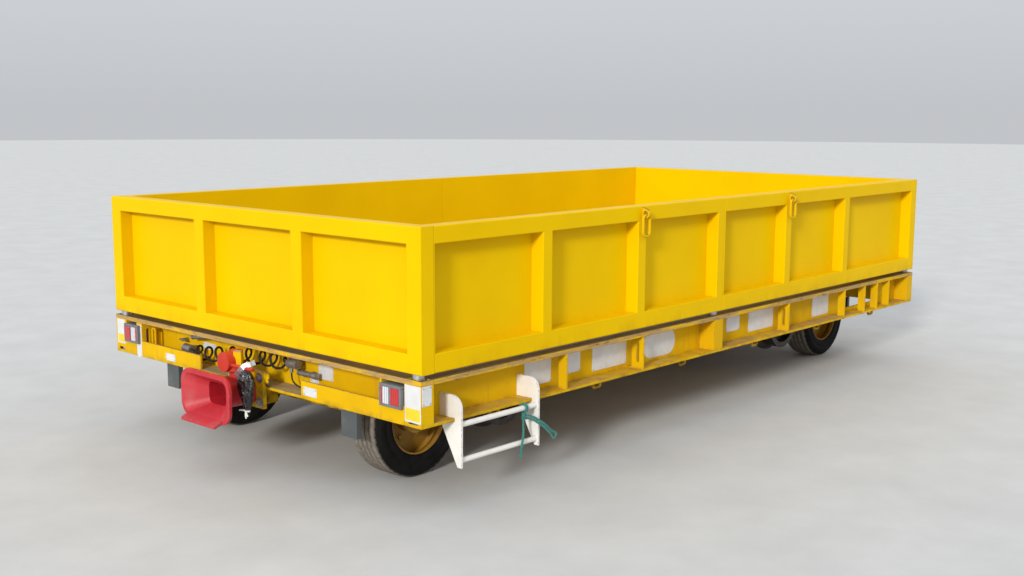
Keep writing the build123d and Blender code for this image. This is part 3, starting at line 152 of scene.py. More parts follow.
class Paint:
    """A Principled material worked out from noise and edges in the part's own frame."""

    def __init__(self, name, sockets=None):
        self.material = bpy.data.materials.new(name)
        self.material.use_nodes = True
        self.tree = self.material.node_tree
        self.bsdf = self.tree.nodes["Principled BSDF"]
        self.place = self.add("TexCoord").outputs["Object"]
        self.surface = self.add("NewGeometry")
        for socket, value in (sockets or {}).items():
            self.feed(value, self.bsdf.inputs[socket])

    def feed(self, value, socket):
        if isinstance(value, bpy.types.NodeSocket):
            self.tree.links.new(value, socket)
        elif socket.type == "RGBA" and len(value) == 3:
            socket.default_value = (*value, 1)
        else:
            socket.default_value = value

    def add(self, kind, inputs=None, **settings):
        node = self.tree.nodes.new("ShaderNode" + kind)
        for setting, value in settings.items():
            setattr(node, setting, value)
        for socket, value in (inputs or {}).items():
            self.feed(value, node.inputs[socket])
        return node

    def noise(self, scale, detail=5.0, roughness=0.6, stretch=(1, 1, 1), shift=(0, 0, 0)):
        mapping = self.add("Mapping", {"Vector": self.place, "Scale": stretch, "Location": shift})
        inputs = {"Scale": scale, "Detail": detail, "Roughness": roughness}
        inputs["Vector"] = mapping.outputs["Vector"]
        return self.add("TexNoise", inputs).outputs["Fac"]

    def span(self, value, low, high):
        """Nought at low and one at high, held to that range."""
        inputs = {"Value": value, "From Min": low, "From Max": high}
        return self.add("MapRange", inputs).outputs["Result"]

    def between(self, value, low, high):
        """Low where the value is nought and high where it is one."""
        inputs = {"Value": value, "To Min": low, "To Max": high}
        return self.add("MapRange", inputs).outputs["Result"]

    def calculate(self, operation, first, second=0.0, clamp=True):
        node = self.add("Math", operation=operation, use_clamp=clamp)
        self.feed(first, node.inputs[0])
        self.feed(second, node.inputs[1])
        return node.outputs["Value"]

    def times(self, first, second):
        return self.calculate("MULTIPLY", first, second)

    def mix(self, factor, first, second):
        node = self.add("Mix", data_type="RGBA")
        self.feed(factor, node.inputs[0])
        self.feed(first, node.inputs[6])
        self.feed(second, node.inputs[7])
        return node.outputs[2]

    def part(self, vector, axis):
        return self.add("SeparateXYZ", {"Vector": vector}).outputs[axis]

    def from_middle(self, axis):
        """Distance from the middle of the trailer along an axis."""
        return self.calculate("ABSOLUTE", self.part(self.place, axis), clamp=False)

    def rounded(self, radius):
        return self.add("Bevel", {"Radius": radius}, samples=6).outputs["Normal"]

    def edges(self, radius, low=0.02, high=0.2):
        """One along sharp edges, nought on flat faces."""
        node = self.add("VectorMath", operation="DOT_PRODUCT")
        self.feed(self.rounded(radius), node.inputs[0])
        self.feed(self.surface.outputs["True Normal"], node.inputs[1])
        return self.span(node.outputs["Value"], 1 - low, 1 - high)

    def bump(self, height, distance, strength=1.0, normal=None):
        inputs = {"Height": height, "Distance": distance, "Strength": strength}
        if normal is not None:
            inputs["Normal"] = normal
        return self.add("Bump", inputs).outputs["Normal"]

    def finish(self, colour, roughness, normal):
        self.feed(colour, self.bsdf.inputs["Base Color"])
        self.feed(roughness, self.bsdf.inputs["Roughness"])
        self.feed(normal, self.bsdf.inputs["Normal"])
        return self.material


# Colours of the paints and of what wears them, some darkened as painted shade, linear
BOARD_YELLOW = (0.775, 0.495, 0.0004)
BOARD_DEEP = (0.73, 0.452, 0.0004)
FRAME_YELLOW = (0.70, 0.425, 0.002)
FRAME_DEEP = (0.61, 0.350, 0.004)
# Rim paint, darkened as painted shade for the shade that lies inside the dished rims
RIM_SHADED_YELLOW = (0.44, 0.240, 0.010)
RIM_SHADED_DEEP = (0.22, 0.105, 0.016)
RUST = (0.10, 0.040, 0.016)
RUST_LIGHT = (0.26, 0.115, 0.035)
BARE_TAN = (0.40, 0.255, 0.095)
BARE_GREY = (0.36, 0.285, 0.17)
# Dark grime, which also serves as painted shade on the frame's top under the boards
GRIME_AND_SHADE = (0.055, 0.042, 0.030)
DUST = (0.27, 0.235, 0.19)
RUBBER_BLACK = (0.0045, 0.0045, 0.005)

# Where dirt and wear start and where they are full: height on the boards, distance from the middle
# along the headstocks' ledges, and radius on the tyres, which reach down to the ground
BOARD_SOIL_STARTS = 0.72
BOARD_SOIL_FULL = 0.652
TRODDEN_STARTS = 0.62
TRODDEN_FULL = 0.40
TREAD_DUST_STARTS = AXLE_Z - 0.012
TREAD_DUST_FULL = AXLE_Z - 0.002


def board_paint():
    paint = Paint("board_yellow", {"Specular IOR Level": 0.03})
    patches = paint.span(paint.noise(1.6, detail=3), 0.35, 0.7)
    colour = paint.mix(patches, BOARD_YELLOW, BOARD_DEEP)
    specks = paint.span(paint.noise(140, detail=2), 0.74, 0.78)
    colour = paint.mix(paint.times(specks, 0.5), colour, FRAME_DEEP)
    low = paint.span(paint.part(paint.place, "Z"), BOARD_SOIL_STARTS, BOARD_SOIL_FULL)
    streaks = paint.span(paint.noise(9, stretch=(1, 1, 0.25)), 0.45, 0.75)
    colour = paint.mix(paint.times(low, streaks), colour, FRAME_DEEP)
    chips = paint.times(paint.edges(0.003), paint.span(paint.noise(38, detail=6), 0.62, 0.70))
    colour = paint.mix(chips, colour, RUST_LIGHT)
    waviness = paint.bump(paint.noise(3.2, detail=2), 0.02, 0.22, paint.rounded(0.0045))
    peel = paint.bump(paint.noise(420, detail=1), 0.0004, 0.25, waviness)
    return paint.finish(colour, paint.between(paint.noise(5), 0.30, 0.44), peel)


def frame_paint():
    paint = Paint("frame_yellow", {"Specular IOR Level": 0.06})
    height = paint.part(paint.place, "Z")
    upward = paint.span(paint.part(paint.surface.outputs["Normal"], "Z"), 0.6, 0.9)
    colour = paint.mix(paint.span(paint.noise(2.3), 0.35, 0.68), FRAME_YELLOW, FRAME_DEEP)
    streaks = paint.span(paint.noise(16, stretch=(1, 1, 0.2)), 0.55, 0.8)
    colour = paint.mix(paint.times(streaks, 0.45), colour, RUST_LIGHT)
    # Faces that look up are worn in patches, and the ledge behind a coupling is trodden bare
    patches = paint.span(paint.noise(7, detail=6, stretch=(0.4, 0.4, 1)), 0.36, 0.53)
    colour = paint.mix(paint.times(paint.times(upward, patches), 0.75), colour, BARE_TAN)
    near_end = paint.span(paint.from_middle("X"), WEB_X - 0.01, WEB_X)
    near_middle = paint.span(paint.from_middle("Y"), TRODDEN_STARTS, TRODDEN_FULL)
    trodden = paint.times(paint.times(near_end, near_middle), upward)
    patchy = paint.span(paint.noise(8, detail=7, roughness=0.65, shift=(2, 5, 1)), 0.36, 0.50)
    colour = paint.mix(paint.times(trodden, patchy), colour, BARE_GREY)
    # The top under the boards is darkened as painted shade, for the shade in the gap beneath them, and
    # its outer edge scuffed and pitted
    top = paint.times(upward, paint.span(height, BEAM_HIGH - 0.003, BEAM_HIGH - 0.001))
    colour = paint.mix(paint.times(top, 0.72), colour, GRIME_AND_SHADE)
    over = paint.span(height, UNDER_EDGE - 0.001, UNDER_EDGE + 0.001)
    under = paint.span(height, BEAM_HIGH + 0.004, BEAM_HIGH + 0.002)
    flange = paint.times(paint.times(over, under), paint.calculate("SUBTRACT", 1.0, upward))
    scuffs = paint.noise(9, detail=9, roughness=0.72, stretch=(0.35, 0.35, 3))
    scuffed = paint.times(flange, paint.span(scuffs, 0.42, 0.52))
    colour = paint.mix(scuffed, colour, BARE_TAN)
    pits = paint.noise(40, detail=7, roughness=0.7, stretch=(0.5, 0.5, 1.6))
    pitted = paint.times(scuffed, paint.span(pits, 0.55, 0.66))
    colour = paint.mix(paint.times(pitted, 0.75), colour, RUST)
    # Chipped edges, rust spots and a grimy foot
    chips = paint.span(paint.noise(30, detail=8, roughness=0.7), 0.48, 0.56)
    colour = paint.mix(paint.times(paint.edges(0.004, 0.02, 0.16), chips), colour, RUST_LIGHT)
    spots = paint.span(paint.noise(26, detail=8, roughness=0.62), 0.70, 0.75)
    colour = paint.mix(spots, colour, RUST)
    low = paint.span(height, BEAM_LOW + 0.03, BEAM_LOW - 0.02)
    colour = paint.mix(paint.times(low, paint.span(paint.noise(12), 0.4, 0.7)), colour, GRIME_AND_SHADE)
    bump = paint.bump(paint.noise(36, detail=7, roughness=0.65), 0.003, 0.35, paint.rounded(0.003))
    return paint.finish(colour, paint.between(paint.noise(14), 0.40, 0.68), bump)


def chipped_paint(name, colour, deep, under, chip_from=0.52, gloss=0.45, sockets=None):
    """Paint in two close shades, chipped to what is under it, mostly along edges."""
    paint = Paint(name, sockets)
    shade = paint.mix(paint.span(paint.noise(6), 0.3, 0.7), colour, deep)
    chips = paint.span(paint.noise(42, detail=8, roughness=0.7), chip_from, chip_from + 0.05)
    shade = paint.mix(paint.times(paint.edges(0.004, 0.01, 0.12), chips), shade, under)
    spots = paint.span(paint.noise(60, detail=6, roughness=0.6, shift=(3, 1, 2)), 0.69, 0.73)
    shade = paint.mix(spots, shade, under)
    grime = paint.span(paint.noise(5, detail=6, shift=(1, 4, 2)), 0.52, 0.80)
    shade = paint.mix(paint.times(grime, 0.35), shade, DUST)
    bump = paint.bump(paint.noise(55, detail=6), 0.002, 0.3, paint.rounded(0.0025))
    return paint.finish(shade, paint.between(paint.noise(18), gloss - 0.08, gloss + 0.16), bump)


def metal(name, colour, dark, rough, metallic=0.9):
    paint = Paint(name, {"Metallic": metallic})
    shade = paint.mix(paint.span(paint.noise(30, detail=7), 0.35, 0.7), colour, dark)
    brushed = paint.noise(90, detail=3, stretch=(1, 1, 0.12))
    bump = paint.bump(brushed, 0.0008, 0.35, paint.rounded(0.002))
    return paint.finish(shade, paint.between(brushed, rough - 0.1, rough + 0.15), bump)


def rubber(name, dusty, tread=False):
    """Black rubber, dusty all over or, on a tyre, where it meets the road."""
    paint = Paint(name, {"Specular IOR Level": 0.12})
    if tread:
        from_axle = paint.calculate("SUBTRACT", paint.from_middle("X"), AXLE_X, clamp=False)
        over_axle = paint.calculate("SUBTRACT", paint.part(paint.place, "Z"), AXLE_Z, clamp=False)
        spoke = paint.add("CombineXYZ", {"X": from_axle, "Z": over_axle}).outputs["Vector"]
        reach = paint.add("VectorMath", {"Vector": spoke}, operation="LENGTH").outputs["Value"]
        worn = paint.span(reach, TREAD_DUST_STARTS, TREAD_DUST_FULL)
        film = paint.times(paint.span(paint.noise(14, detail=8), 0.35, 0.75), 0.04)
        dusty = paint.calculate("MAXIMUM", paint.times(worn, dusty), film)
    grains = paint.span(paint.noise(60, detail=8), 0.0 if tread else 0.25, 0.60)
    shade = paint.mix(paint.times(dusty, grains), RUBBER_BLACK, DUST)
    return paint.finish(shade, 0.72, paint.bump(paint.noise(180, detail=4), 0.0006, 0.4))


def plastic(name, colour, dark, rough):
    paint = Paint(name)
    shade = paint.mix(paint.span(paint.noise(20, detail=6), 0.4, 0.75), colour, dark)
    bump = paint.bump(paint.noise(300, detail=3), 0.0004, 0.35, paint.rounded(0.002))
    return paint.finish(shade, rough, bump)


def lens(name, colour, deep):
    """Moulded lens: fine upright prisms under a glossy face, with painted shade darkening the prisms'
    grooves.
    """
    paint = Paint(name, {"Coat Weight": 0.8, "Coat Roughness": 0.05})
    flat = {"Vector": paint.place, "Distortion": 0.0}
    prisms = paint.add("TexWave", {**flat, "Scale": 26.0}, bands_direction="Y").outputs["Fac"]
    blocks = paint.add("TexWave", {**flat, "Scale": 11.0}, bands_direction="Z").outputs["Fac"]
    # Painted shade: the colour darkens to the deep tone in the prisms' grooves
    shade = paint.mix(paint.span(prisms, 0.2, 0.9), deep, colour)
    ridges = paint.bump(prisms, 0.002, 0.6, paint.rounded(0.003))
    return paint.finish(shade, 0.18, paint.bump(blocks, 0.001, 0.4, ridges))


def bag_film(name, colour, pale):
    paint = Paint(name, {"Coat Weight": 0.6, "Coat Roughness": 0.12})
    shade = paint.mix(paint.span(paint.noise(16, detail=6), 0.5, 0.8), colour, pale)
    creases = paint.noise(34, detail=7, roughness=0.7, stretch=(1, 1, 0.45))
    return paint.finish(shade, 0.20, paint.bump(creases, 0.012, 0.7))


def rope_yarn(name, colour, pale):
    paint = Paint(name, {"Sheen Weight": 0.25})
    shade = paint.mix(paint.span(paint.noise(120, detail=5), 0.35, 0.7), colour, pale)
    return paint.finish(shade, 0.7, paint.bump(paint.noise(900, detail=2), 0.0005, 0.6))


def floor_paint(name, colour, pale):
    paint = Paint(name)
    shade = paint.mix(paint.span(paint.noise(2.5, detail=8), 0.3, 0.7), colour, pale)
    return paint.finish(shade, 0.85, paint.bump(paint.noise(60, detail=6), 0.002, 0.15))


# Materials by the record's slots
MATERIALS = {
    "board_yellow": board_paint(),
    "frame_yellow": frame_paint(),
    "deck_yellow": chipped_paint(
        "deck_yellow", FRAME_DEEP, (0.42, 0.23, 0.03), RUST, 0.44, 0.6, {"Specular IOR Level": 0.15},
    ),
    "galvanised": metal("galvanised", (0.60, 0.61, 0.62), (0.40, 0.41, 0.43), 0.38),
    "step_white": chipped_paint("step_white", (0.80, 0.79, 0.75), (0.70, 0.68, 0.63), RUST, 0.50, 0.42),
    "guard_grey": chipped_paint(
        "guard_grey", (0.074, 0.087, 0.089), (0.060, 0.070, 0.072), DUST, 0.58, 0.5,
    ),
    "coupling_red": chipped_paint(
        "coupling_red", (0.52, 0.018, 0.030), (0.40, 0.012, 0.020), DUST, 0.52, 0.42,
    ),
    "dark_steel": metal("dark_steel", (0.09, 0.085, 0.08), (0.05, 0.035, 0.025), 0.5, 0.7),
    "tyre_rubber": rubber("tyre_rubber", 0.85, tread=True),
    "hose_black": rubber("hose_black", 0.12),
    "fitting_grey": metal("fitting_grey", (0.36, 0.35, 0.33), (0.20, 0.17, 0.14), 0.48, 0.75),
    "rope_green": rope_yarn("rope_green", (0.006, 0.115, 0.092), (0.022, 0.200, 0.165)),
    "bag_black": bag_film("bag_black", (0.006, 0.006, 0.007), (0.018, 0.018, 0.020)),
    "lamp_grey": plastic("lamp_grey", (0.16, 0.17, 0.18), (0.11, 0.115, 0.12), 0.5),
    "lens_red": lens("lens_red", (0.60, 0.008, 0.010), (0.34, 0.004, 0.006)),
    "lens_clear": lens("lens_clear", (0.72, 0.74, 0.76), (0.40, 0.42, 0.45)),
}
PLATE_WHITE = plastic("plate_white", (0.66, 0.665, 0.67), (0.57, 0.57, 0.56), 0.4)
PLATE_YELLOW = plastic("plate_yellow", (0.90, 0.60, 0.01), (0.80, 0.50, 0.02), 0.4)
# Rusty, chipped rim paint whose yellows are darkened as painted shade
RIM_RUSTY_SHADED = chipped_paint("rim_rusty_shaded", RIM_SHADED_YELLOW, RIM_SHADED_DEEP, RUST, 0.40, 0.6)
HOUSING_RED = chipped_paint(
    "housing_red", (0.60, 0.040, 0.012), (0.46, 0.022, 0.010), GRIME_AND_SHADE, 0.50, 0.45,
)
TAPE_SILVER = metal("tape_silver", (0.62, 0.63, 0.65), (0.50, 0.50, 0.52), 0.3)
TIE_WHITE = plastic("tie_white", (0.84, 0.84, 0.82), (0.74, 0.74, 0.70), 0.45)

# Materials of the CAD nodes: rims and coupling housings have worn paints of their own, and the rims'
# paint is also darkened as painted shade
OWN_PAINT_BY_NODE = {"coupling_housings": HOUSING_RED}
OWN_PAINT_BY_NODE.update({"rim_" + place: RIM_RUSTY_SHADED for place in WHEEL_PLACES})
for row in frame["record"]["subparts"]:
    mesh = NODES[row["node"]].data
    mesh.materials.clear()
    mesh.materials.append(OWN_PAINT_BY_NODE.get(row["node"], MATERIALS[row["material_slot"]]))


def linked(name, data):
    """An object in the scene that shows some data."""
    obj = bpy.data.objects.new(name, data)
    bpy.context.scene.collection.objects.link(obj)
    return obj


def piece(name, source, material, body=PLATFORM, smooth=True):
    """An object in the part's frame, from a bmesh or a curve, that rides on a body."""
    if isinstance(source, bmesh.types.BMesh):
        bmesh.ops.recalc_face_normals(source, faces=source.faces)
        data = bpy.data.meshes.new(name)
        source.to_mesh(data)
        source.free()
        data.polygons.foreach_set("use_smooth", [smooth] * len(data.polygons))
        obj = linked(name, data)
    else:
        obj = source
    obj.data.materials.clear()
    obj.data.materials.append(material)
    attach(obj, body)
    return obj


def curve(name, points, radius):
    """An open smooth curve led by its control points, with a round section."""
    data = bpy.data.curves.new(name, "CURVE")
    data.dimensions = "3D"
    data.bevel_depth = radius
    data.bevel_resolution = 4
    data.resolution_u = 8
    data.use_fill_caps = radius > 0
    spline = data.splines.new("NURBS")
    spline.points.add(len(points) - 1)
    for target, point in zip(spline.points, points):
        target.co = (*point, 1)
    spline.order_u = 3
    spline.use_endpoint_u = True
    return linked(name, data)


def smooth_line(points):
    """Points read along the smooth curve of a route."""
    guide = curve("route_guide", points, 0)
    mesh = bpy.data.meshes.new_from_object(guide)
    line = [vertex.co.copy() for vertex in mesh.vertices]
    bpy.data.objects.remove(guide)
    bpy.data.meshes.remove(mesh)
    return line


def run_lengths(line):
    return [(after - before).length for before, after in zip(line, line[1:])]


def walk(line, steps):
    """Even steps along a line: share of the way, place and direction at each."""
    lengths = run_lengths(line)
    total = sum(lengths)
    for step in range(steps + 1):
        share = step / steps
        left = share * total
        index = 0
        while index < len(lengths) - 1 and left > lengths[index]:
            left -= lengths[index]
            index += 1
        run = line[index + 1] - line[index]
        yield share, line[index] + run * min(left / lengths[index], 1), run.normalized()


def ease(share):
    """A share from nought to one that starts and ends gently."""
    return share * share * (3 - 2 * share)


def spoke(first, second, angle):
    """A direction in the plane of two others, turned from the first towards the second."""
    return first * math.cos(angle) + second * math.sin(angle)


def skin(bm, rings):
    """Faces between closed rings of as many points each."""
    for lower, upper in zip(rings, rings[1:]):
        count = len(lower)
        for index in range(count):
            after = (index + 1) % count
            bm.faces.new((lower[index], lower[after], upper[after], upper[index]))


def closed_skin(bm, rings):
    """Faces between rings, and one over each end."""
    skin(bm, rings)
    bm.faces.new(rings[0])
    bm.faces.new(rings[-1])


def turned(bm, profile, matrix, segments):
    """Rings from a profile of (along the axis, radius), turned round the local Z of matrix."""
    rings = []
    for along, radius in profile:
        ring = []
        for index in range(segments):
            angle = math.tau * index / segments
            spot = Vector((radius * math.cos(angle), radius * math.sin(angle), along))
            ring.append(bm.verts.new(matrix @ spot))
        rings.append(ring)
    return rings


def lathe(bm, profile, matrix, segments):
    """A closed solid turned from a profile."""
    closed_skin(bm, turned(bm, profile, matrix, segments))


ROPE_STEP = 0.0022
STRAND_HOLLOW = 0.26


def rope_tube(line, radius, lay=0.075, sides=18, strands=3):
    """A laid rope along a line: a section of round strands that turns as it goes."""
    bm = bmesh.new()
    total = sum(run_lengths(line))
    steps = max(12, round(total / ROPE_STEP))
    side = None
    rings = []
    for share, place, ahead in walk(line, steps):
        if side is None:
            side = ahead.orthogonal().normalized()
        side = (side - ahead * side.dot(ahead)).normalized()
        other = ahead.cross(side)
        turn = math.tau * share * total / lay
        ring = []
        for index in range(sides):
            angle = math.tau * index / sides
            crown = abs(math.cos(strands * (angle - turn) / 2))
            reach = radius * (1 - STRAND_HOLLOW + STRAND_HOLLOW * crown)
            ring.append(bm.verts.new(place + spoke(side, other, angle) * reach))
        rings.append(ring)
    closed_skin(bm, rings)
    return bm


def add_mesh(bm, other):
    """Joins another bmesh into bm."""
    data = bpy.data.meshes.new("joined")
    other.to_mesh(data)
    other.free()
    bm.from_mesh(data)
    bpy.data.meshes.remove(data)


def facing(place, axis):
    """A frame at place whose Z points along axis."""
    return Matrix.Translation(place) @ Vector(axis).to_track_quat("Z", "Y").to_matrix().to_4x4()


def face_frame(x, y, z, outward):
    """A frame on an upright face: local X along the face, local Y up, local Z outward."""
    along = UP.cross(Vector(outward))
    turn = Matrix((along, UP, Vector(outward))).transposed().to_4x4()
    return Matrix.Translation((x, y, z)) @ turn


SLAB_BEVEL = 0.35


def slab(bm, matrix, width, height, thick, corner=0.004, steps=4):
    """A plate with rounded corners on the local XY of matrix, from z nought to thick."""
    outline = []
    for turn, x, y in ((0, 1, 1), (1, -1, 1), (2, -1, -1), (3, 1, -1)):
        for step in range(steps + 1):
            angle = math.pi / 2 * (turn + step / steps)
            outline.append((
                x * (width / 2 - corner) + corner * math.cos(angle),
                y * (height / 2 - corner) + corner * math.sin(angle),
            ))
    bevel = min(thick, corner) * SLAB_BEVEL
    rings = []
    for inset, level in ((0, 0), (0, thick - bevel), (bevel, thick)):
        ring = []
        for x, y in outline:
            shrink_x = 1 - 2 * inset / width
            shrink_y = 1 - 2 * inset / height
            ring.append(bm.verts.new(matrix @ Vector((x * shrink_x, y * shrink_y, level))))
        rings.append(ring)
    closed_skin(bm, rings)


# Along a bolt and radius, as shares of its width across corners
BOLT_WASHER = ((0, 0.80), (0.10, 0.80), (0.12, 0.74))
BOLT_HEAD = ((0.12, 0.5), (0.40, 0.5), (0.46, 0.42))


def hex_bolt(bm, place, axis, size):
    """A washer and a six-sided head of that width across corners, standing on a face."""
    for profile, segments in ((BOLT_WASHER, 20), (BOLT_HEAD, 6)):
        scaled = [(along * size, radius * size) for along, radius in profile]
        lathe(bm, scaled, facing(place, axis), segments)


# Coiled air hose along the front headstock
HOSE_TURN_STEPS = 16
HOSE_EASE_IN = 9
HOSE_EASE_OUT = 11
HOSE_UNEVEN = 0.16
HOSE_WIDEST = 1.05
HOSE_BUNCHING = 0.05


def hose_helix():
    """The hose's turns round its route: uneven, and drawn in at both ends."""
    points = []
    for share, place, ahead in walk(smooth_line(HOSE_ROUTE), round(HOSE_TURNS * HOSE_TURN_STEPS)):
        side = ahead.cross(UP).normalized()
        lift = side.cross(ahead)
        drawn_in = ease(min(1, share * HOSE_EASE_IN, (1 - share) * HOSE_EASE_OUT))
        slack = 1 + HOSE_UNEVEN * noise.noise(Vector((share * 5.5, 0.3, 2.7)))
        phase = math.tau * HOSE_TURNS * (share + HOSE_BUNCHING * math.sin(math.tau * share))
        reach = HOSE_COIL * drawn_in * min(slack, HOSE_WIDEST)
        points.append(place + spoke(lift, side, phase) * reach)
    return points


hose_points = hose_helix()
hose_curve = curve("air_hose", hose_points, HOSE_RADIUS)
hose = piece("air_hose", hose_curve, MATERIALS["hose_black"])
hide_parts("coiled_hose")
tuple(hose_points[0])

# Lamp lead and its plug
PLUG_PROFILE = (
    # along the plug, radius
    (0.000, 0.0055), (0.002, 0.0080), (0.010, 0.0086), (0.011, 0.0128), (0.016, 0.0130),
    (0.017, 0.0112), (0.022, 0.0112), (0.023, 0.0130), (0.028, 0.0130), (0.029, 0.0112),
    (0.034, 0.0112), (0.035, 0.0130), (0.044, 0.0130), (0.046, 0.0120),
)
lead = piece("lead", curve("lead", LEAD_ROUTE, LEAD_RADIUS), MATERIALS["hose_black"])
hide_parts("lamp_lead")
bm = bmesh.new()
plug_axis = Vector(LEAD_ROUTE[-1]) - Vector(LEAD_ROUTE[-2])
lathe(bm, PLUG_PROFILE, facing(LEAD_ROUTE[-1], plug_axis), 28)
plug = piece("plug", bm, MATERIALS["fitting_grey"])
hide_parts("lead_plug")
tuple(LEAD_ROUTE[0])

# Rope on the upper rung of the left step
RUNG_TURNS = 2
RUNG_STEPS = 32
KNOT_STEPS = 48
KNOT_ALONG = 0.0028
KNOT_ACROSS = 0.0055


def rope_knot():
    """Two turns round the rung and an overhand knot under it."""
    turns = []
    reach = RUNG_RADIUS + ROPE_RADIUS
    for step in range(RUNG_STEPS + 1):
        angle = math.tau * RUNG_TURNS * step / RUNG_STEPS - math.pi / 2
        along = ROPE_X + 2 * ROPE_RADIUS * (step / RUNG_STEPS - 0.5)
        y = RUNG_Y + reach * math.cos(angle)
        z = RUNG_Z + reach * math.sin(angle)
        turns.append(Vector((along, y, z)))
    bm = rope_tube(turns, ROPE_RADIUS)
    middle = Vector((ROPE_X, RUNG_Y, (KNOT_BOTTOM + RUNG_Z - RUNG_RADIUS) / 2))
    half_height = (RUNG_Z - RUNG_RADIUS - KNOT_BOTTOM) / 2 - ROPE_RADIUS
    loops = []
    for step in range(KNOT_STEPS + 1):
        angle = math.tau * step / KNOT_STEPS
        loops.append(middle + Vector((
            KNOT_ALONG * (math.sin(angle) + 2 * math.sin(2 * angle)),
            KNOT_ACROSS * math.sin(3 * angle),
            half_height / 3 * (math.cos(angle) - 2 * math.cos(2 * angle)),
        )))
    add_mesh(bm, rope_tube(loops, ROPE_RADIUS))
    return bm


def bight_loop():
    """Out along the bight's route, round a small eye at its end and back beside itself."""
    spots = [Vector(point) for point in BIGHT_ROUTE]
    out = []
    back = []
    for index, spot in enumerate(spots):
        ahead = (spots[min(index + 1, len(spots) - 1)] - spots[max(index - 1, 0)]).normalized()
        side = ahead.cross(LEFT).normalized() * BIGHT_SPREAD
        out.append(spot + side)
        back.append(spot - side)
    ahead = (spots[-1] - spots[-2]).normalized()
    side = ahead.cross(LEFT).normalized()
    eye = []
    for reach, across in ((EYE_NEAR, 1), (EYE_FAR, 1), (EYE_FAR, -1), (EYE_NEAR, -1)):
        eye.append(spots[-1] + ahead * reach + side * across * EYE_HALF)
    return out + eye + back[::-1]


knot = piece("rope_wrap", rope_knot(), MATERIALS["rope_green"])
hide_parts("rope_knot")
tail_line = smooth_line(TAIL_ROUTE)
tail = piece("rope_end", rope_tube(tail_line, ROPE_RADIUS), MATERIALS["rope_green"])
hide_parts("rope_tail")
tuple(TAIL_ROUTE[0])
bight_route = bight_loop()
bight_line = smooth_line(bight_route)
bight = piece("rope_loop", rope_tube(bight_line, ROPE_RADIUS), MATERIALS["rope_green"])
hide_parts("rope_bight")
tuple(bight_route[0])

# Tyres with ribbed tread
TREAD_GROOVES = (-0.048, -0.016, 0.016, 0.048)
GROOVE_HALF = 0.0052
GROOVE_DEPTH = 0.010
TREAD_HALF = 0.076
TREAD_DROP = 0.0022
ZIGZAG = 0.0008
ZIGZAGS = 44
TYRE_SEGMENTS = 176
SHOULDER_NOTCH = 0.006
NOTCH_EVERY = 4
SIDEWALL = 0.0947
BEAD_INSET = 0.0273
RIM_INSET = 0.015
RIM_FLANGE = 0.0148
LIP_GAP = 0.0005
LIP_DROP = 0.020


def tyre_profile(half, radius):
    """Rows of (across, radius, share of the zigzag, notch depth) from bead to bead."""
    bead = radius - SIDEWALL
    lip = bead - LIP_DROP
    seat = half - RIM_INSET + LIP_GAP
    side = (
        # across, radius, share of the zigzag, notch depth, from the bead up to the tread
        (half - BEAD_INSET, bead, 0, 0),
        (half - BEAD_INSET, bead + RIM_FLANGE, 0, 0),
        (seat, bead + RIM_FLANGE, 0, 0),
        (seat, lip + 0.004, 0, 0),
        (seat + 0.0025, lip, 0, 0),
        (half - 0.0075, lip + 0.003, 0, 0),
        (half - 0.0040, bead, 0, 0),
        (half - 0.0020, bead + 0.024, 0, 0),
        (half - 0.0035, bead + 0.027, 0, 0),
        (half - 0.0005, bead + 0.030, 0, 0),
        (half, (bead + radius) / 2 + 0.004, 0, 0),
        (half - 0.004, radius - 0.030, 0, 0),
        (half - 0.0065, radius - 0.0275, 0, 0),
        (half - 0.008, radius - 0.0225, 0, 0),
        (half - 0.013, radius - 0.013, 0, SHOULDER_NOTCH),
        (half - 0.020, radius - 0.006, 0, SHOULDER_NOTCH),
        (TREAD_HALF, radius - TREAD_DROP, 0, 0),
    )
    rows = [(-across, *rest) for across, *rest in side]
    for groove in TREAD_GROOVES:
        for across, depth in ((-1, 0), (-0.6, 1), (0.6, 1), (1, 0)):
            rows.append((groove + across * GROOVE_HALF, radius - depth * GROOVE_DEPTH, 1, 0))
    return rows + list(reversed(side))


def tyre_mesh(low, high):
    """A tyre in the box of its node, turned about the middle along Y."""
    centre = (low + high) / 2
    half = (high.y - low.y) / 2
    radius = (high.z - low.z) / 2
    bm = bmesh.new()
    rings = []
    for across, reach, zigzag, notch in tyre_profile(half, radius):
        ring = []
        for index in range(TYRE_SEGMENTS):
            angle = math.tau * index / TYRE_SEGMENTS
            wave = 2 * abs(2 * (index * ZIGZAGS / TYRE_SEGMENTS % 1) - 1) - 1
            cut = notch if index % NOTCH_EVERY == 0 else 0
            ring.append(bm.verts.new((
                centre.x + (reach - cut) * math.cos(angle),
                centre.y + across + zigzag * ZIGZAG * wave,
                centre.z + (reach - cut) * math.sin(angle),
            )))
        rings.append(ring)
    skin(bm, rings + rings[:1])
    return bm


for place in WHEEL_PLACES:
    node = "tyre_" + place
    mesh = tyre_mesh(*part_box(node))
    tyre = piece("road_" + node, mesh, MATERIALS["tyre_rubber"], "wheel_" + place)
    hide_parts(node)

